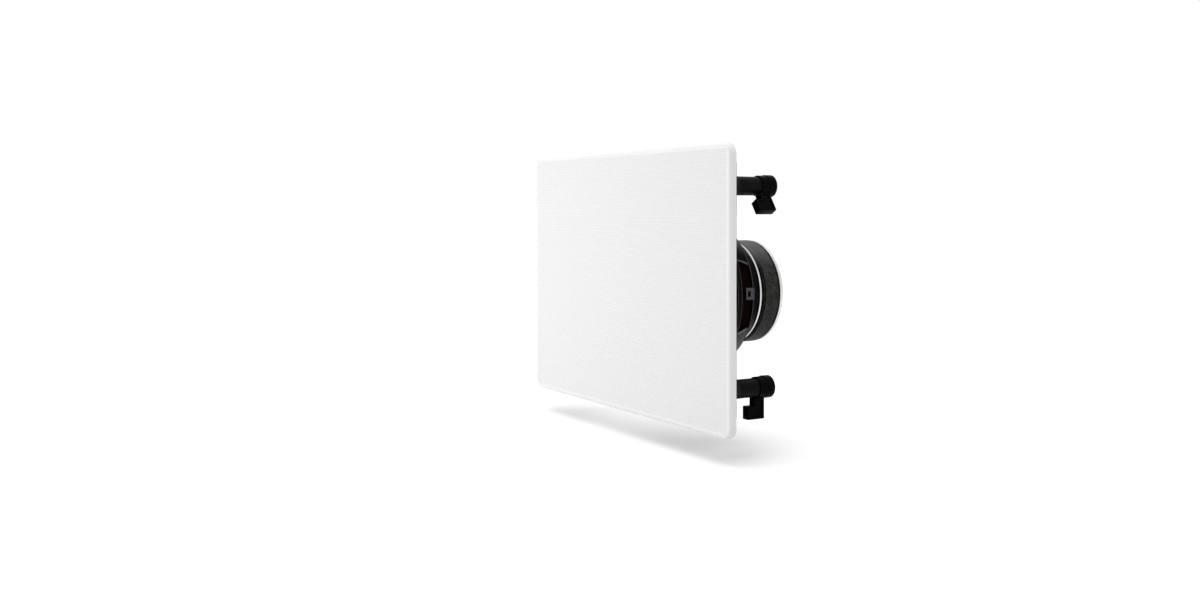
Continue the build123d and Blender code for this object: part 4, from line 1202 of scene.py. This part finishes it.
@dataclass
class Crossover:
    """The parts on the crossover board, in millimetres."""

    board: Point = (-78.0, 62.0)
    face: float = 14.1
    inductor_x: float = -22.0
    core: float = 6.0
    winding: float = 12.8
    winding_front: float = 15.6
    winding_back: float = 26.6
    turns: int = 13
    part_x: float = 14.0
    can: float = 5.5
    can_half: float = 12.0
    can_edge: float = 0.5
    can_rim: float = 1.5
    can_dish: tuple[float, float] = (0.9, 0.7)
    rows: tuple[float, ...] = (11.0, -3.0)
    resistor_row: float = -15.0
    resistor_half: float = 4.0
    leg: float = 0.35
    leg_reach: float = 1.2
    leg_straight: float = 0.5
    leg_bend: float = 1.0
    leg_foot: tuple[float, float] = (0.8, -0.1)

    def build_winding(self) -> None:
        """Winds the inductor's copper wire."""
        wire = (self.winding_back - self.winding_front) / self.turns / 2
        middles = [self.winding_front + wire * (2 * k + 1) for k in range(self.turns)]
        bulges = [point for y in middles for point in arc((self.winding - wire, y), wire, -80.0, 80.0, 7)]
        work = Workpiece("copper_winding")
        work.lathe([(self.core, self.winding_front), *bulges, (self.core, self.winding_back),
                    (self.core, self.winding_front)],
                   mm(self.board[0] + self.inductor_x, 0.0, self.board[1]), steps=64)
        seat(work.finish(Stuff.COPPER, 75.0), "frame", "copper", "inductor_winding")

    def build_cans(self) -> None:
        """Rolls the two film capacitors, with their ends drawn in."""
        work = Workpiece("film_capacitors")
        half, edge, rim = self.can_half, self.can_edge, self.can - self.can_rim
        middle, near_rim = self.can_dish
        front = arc((self.can - edge, edge - half), edge, -90.0, 0.0, 5)
        back = arc((self.can - edge, half - edge), edge, 0.0, 90.0, 5)
        section = [(0.0, middle - half), (rim, near_rim - half), *front, *back, (rim, half - near_rim),
                   (0.0, half - middle)]
        lying = Matrix.Rotation(-math.pi / 2, 4, "Z")
        for row in self.rows:
            place = mm(self.board[0] + self.part_x, self.face + self.can, self.board[1] + row)
            work.lathe(section, Vector(), steps=48, place=Matrix.Translation(place) @ lying)
        seat(work.finish(Stuff.FILM), "frame", "capacitor_film", "capacitors")

    def build_legs(self) -> None:
        """Bends the legs of the capacitors and the resistor down to the board."""
        routes = []
        middle = self.board[0] + self.part_x
        heights = {row: self.can for row in self.rows} | {self.resistor_row: self.resistor_half}
        for row, height in heights.items():
            z, y = self.board[1] + row, self.face + height
            for side in (1, -1):
                end = middle + side * self.can_half
                out = end + side * self.leg_reach
                routes.append([(end - side * self.leg_reach, y, z), (end + side * self.leg_straight, y, z),
                               (out, y, z), (out, y - self.leg_bend, z),
                               *((out, self.face + foot, z) for foot in self.leg_foot)])
        seat(wires("component_legs", routes, self.leg, [Stuff.NICKEL]), "frame", "nickel")

    def build(self) -> None:
        """Builds the winding, the capacitors and the legs."""
        self.build_winding()
        self.build_cans()
        self.build_legs()


def wires(name: str, routes: Sequence[Route], radius: float, stuffs: Sequence[Stuff]) -> bpy.types.Object:
    """Lays wires along smooth lines.

    Args:
        name: the piece's name.
        routes: the points of each wire, in millimetres.
        radius: its radius, in millimetres.
        stuffs: the finishes, which the wires take in turn.

    Returns:
        One mesh of all the wires.
    """
    curve = bpy.data.curves.new(f"{name}_line", "CURVE")
    curve.dimensions = "3D"
    curve.bevel_depth = radius / 1000
    curve.bevel_resolution = 4
    curve.resolution_u = 8
    curve.use_fill_caps = True
    for stuff in stuffs:
        curve.materials.append(stuff.value.material())
    for k, route in enumerate(routes):
        spline = curve.splines.new("NURBS")
        spline.points.add(len(route) - 1)
        for point, place in zip(spline.points, route):
            point.co = (*mm(*place), 1.0)
        spline.order_u = 3
        spline.use_endpoint_u = True
        spline.use_smooth = True
        spline.material_index = k % len(stuffs)
    line = put(f"{name}_line", curve)
    bpy.context.view_layer.update()
    mesh = bpy.data.meshes.new_from_object(line.evaluated_get(bpy.context.evaluated_depsgraph_get()))
    bpy.data.objects.remove(line)
    mesh.name = name
    LOG.info("piece %s: %d wires", name, len(routes))
    return put(name, mesh)


@dataclass
class Wiring:
    """The leads inside the speaker, in millimetres."""

    radius: float = 1.1
    tinsel: float = 0.6
    input_x: tuple[float, float] = (-105.8, -109.2)
    tweeter_x: float = -72.0
    woofer_z: float = -7.9
    tag_half: float = 5.0
    lead_gap: float = 3.4
    colours: tuple[Stuff, ...] = (Stuff.LEAD_RED, Stuff.LEAD_BLACK)

    def build_input(self) -> None:
        """Lays the pair from the terminals to the board."""
        routes = [[(x, 14.5, -50.0), (x, 14.5, -34.0), (x - 1.0, 16.2, 0.0), (x, 17.2, 29.0), (x, 15.2, 45.0)]
                  for x in self.input_x]
        pair = wires("input_pair", routes, self.radius, self.colours)
        seat(pair, "frame", "lead_sheath", "input_leads")

    def build_woofer(self) -> None:
        """Lays the pair from the board to the woofer's tags."""
        routes = []
        for side in (1, -1):
            end, off = self.woofer_z + self.tag_half * side, self.lead_gap * side
            routes.append([(-44.0, 15.2, 59.0 + off), (-32.0, 18.2, 53.0 + off), (-23.0, 34.5, 27.0 + off),
                           (-20.0, 39.5, end + 9.0), (-16.0, 31.6, end)])
        pair = wires("woofer_pair", routes, self.radius, self.colours)
        seat(pair, "frame", "lead_sheath", "woofer_leads")

    def build_tweeter(self) -> None:
        """Lays the pair from the board to the tweeter."""
        routes = []
        for side in (1, -1):
            x = self.tweeter_x + self.lead_gap / 2 * side
            routes.append([(x - 9.0, 15.2, 47.0), (x - 9.0, 18.2, 37.0), (x - 4.5, 32.0, 29.0),
                           (x, 33.0, 20.5), (x, 24.0, 20.5)])
        pair = wires("tweeter_pair", routes, self.radius, self.colours)
        bend(pair, "tweeter_leads")

    def build_tinsel(self) -> None:
        """Lays the braids from the tags to the cone."""
        routes = []
        for side in (1, -1):
            z = self.woofer_z + self.tag_half * side
            routes.append([(-15.0, 29.9, z), (-8.0, 36.85, z + side), (1.0, 36.85, z + 2 * side),
                           (22.0, 18.0, z)])
        pair = wires("tinsel_braids", routes, self.tinsel, [Stuff.BRAID])
        bend(pair, "tinsel_leads")

    def build(self) -> None:
        """Lays all the leads."""
        self.build_input()
        self.build_woofer()
        self.build_tweeter()
        self.build_tinsel()


@dataclass
class Studio:
    """The floor, the light and the camera that match the photograph."""

    floor_height: float = -0.1285
    floor_half: float = 30.0
    paper: tuple[Colour, Colour] = ((0.80, 0.80, 0.80), (0.82, 0.82, 0.82))
    paper_grain: tuple[float, float] = (900.0, 8.0)
    paper_roughness: float = 0.9
    sensor: float = 36.0
    lens: float = 34.917
    clip: tuple[float, float] = (0.01, 100.0)
    eye: tuple[float, float, float] = (0.82697, -0.51338, 0.05954)
    yaw: float = 59.445
    shift: float = -0.0757
    sky: float = 0.55
    sun: float = 1.5
    sun_spread: float = 60.0
    sun_heading: tuple[float, float, float] = (0.05, 0.06, -0.99)
    fill: float = 2.2
    fill_size: float = 0.45
    fill_place: tuple[float, float, float] = (-0.46, -0.72, 0.10)
    fill_aim: tuple[float, float, float] = (-0.04, 0.0, -0.02)
    floor_glow: float = 0.37

    def seen(self, graph: Graph) -> Socket:
        """Tells rays that show the background from those that only light the object.

        Args:
            graph: the tree that asks.

        Returns:
            A socket of 1 for a ray from the camera, a reflection or glass, and 0 for others.
        """
        ray = graph.add("ShaderNodeLightPath").outputs
        mirror = graph.math("MAXIMUM", ray["Is Glossy Ray"], ray["Is Transmission Ray"])
        return graph.math("MAXIMUM", ray["Is Camera Ray"], mirror)

    def floor(self) -> bpy.types.Object:
        """Lays a wide pale floor.

        Returns:
            The floor.
        """
        bm = bmesh.new()
        bmesh.ops.create_grid(bm, x_segments=8, y_segments=8, size=self.floor_half,
                              matrix=Matrix.Translation((0.0, 0.0, self.floor_height)))
        mesh = bpy.data.meshes.new("floor")
        bm.to_mesh(mesh)
        bm.free()
        made = bpy.data.materials.new("floor_paper")
        graph = Graph.fresh(made)
        grain = Grain().use(graph, *self.paper_grain)
        shader = graph.add("ShaderNodeBsdfPrincipled", {
            "Base Color": graph.mix(grain["Tone"], *self.paper), "Roughness": self.paper_roughness,
            "Specular IOR Level": 0.0, "Emission Color": (1.0, 1.0, 1.0, 1.0),
            "Emission Strength": graph.math("MULTIPLY", self.seen(graph), self.floor_glow),
        })
        graph.add("ShaderNodeOutputMaterial", {"Surface": shader.outputs[0]})
        mesh.materials.append(made)
        floor = put("floor", mesh)
        return floor

    def overhead(self) -> None:
        """Hangs a broad far lamp above the speaker."""
        data = bpy.data.lights.new("overhead", "SUN")
        data.energy = self.sun
        data.angle = math.radians(self.sun_spread)
        heading = Vector(self.sun_heading)
        put("overhead", data).rotation_euler = heading.to_track_quat("-Z", "Y").to_euler()

    def front_fill(self, floor: bpy.types.Object) -> None:
        """Stands a soft box near the front left, so that its light falls off across the face.

        Args:
            floor: the floor, which this lamp doesn't light.
        """
        data = bpy.data.lights.new("front_fill", "AREA")
        data.energy = self.fill
        data.size = self.fill_size
        made = put("front_fill", data)
        made.location = self.fill_place
        heading = Vector(self.fill_aim) - Vector(self.fill_place)
        made.rotation_euler = heading.to_track_quat("-Z", "Y").to_euler()
        unlit = bpy.data.collections.new("front_fill_spares")
        unlit.objects.link(floor)
        unlit.collection_objects[0].light_linking.link_state = "EXCLUDE"
        made.light_linking.receiver_collection = unlit

    def light(self, floor: bpy.types.Object) -> None:
        """Sets a white surround, a soft lamp overhead and a weak fill from the front left.

        Args:
            floor: the floor, which the fill doesn't light.
        """
        world = bpy.data.worlds.new("surround")
        graph = Graph.fresh(world)
        strength = graph.span(self.seen(graph), 0.0, 1.0, self.sky, 1.0)
        back = graph.add("ShaderNodeBackground", {"Color": (1.0, 1.0, 1.0, 1.0), "Strength": strength})
        graph.add("ShaderNodeOutputWorld", {"Surface": back.outputs[0]})
        bpy.context.scene.world = world
        self.overhead()
        self.front_fill(floor)

    def camera(self) -> None:
        """Stands the camera where the photograph was taken from."""
        data = bpy.data.cameras.new("camera")
        data.sensor_width = self.sensor
        data.lens = self.lens
        data.shift_y = self.shift
        data.clip_start, data.clip_end = self.clip
        view = put("camera", data)
        view.location = self.eye
        view.rotation_euler = (math.pi / 2, 0.0, math.radians(self.yaw))
        bpy.context.scene.camera = view
        bpy.context.scene.view_settings.view_transform = "Standard"

    def build(self) -> None:
        """Sets up the whole studio."""
        self.camera()
        self.light(self.floor())


def main() -> None:
    """Builds the speaker's pieces in order."""
    logging.basicConfig(level=logging.INFO, format="%(name)s: %(message)s")
    dress_cad_nodes()
    Grille().build()
    for corner in Corner:
        SwingClamp(corner).build()
    Woofer().build()
    Tweeter().build()
    Crossover().build()
    Wiring().build()
    Studio().build()


if __name__ == "__main__":
    main()
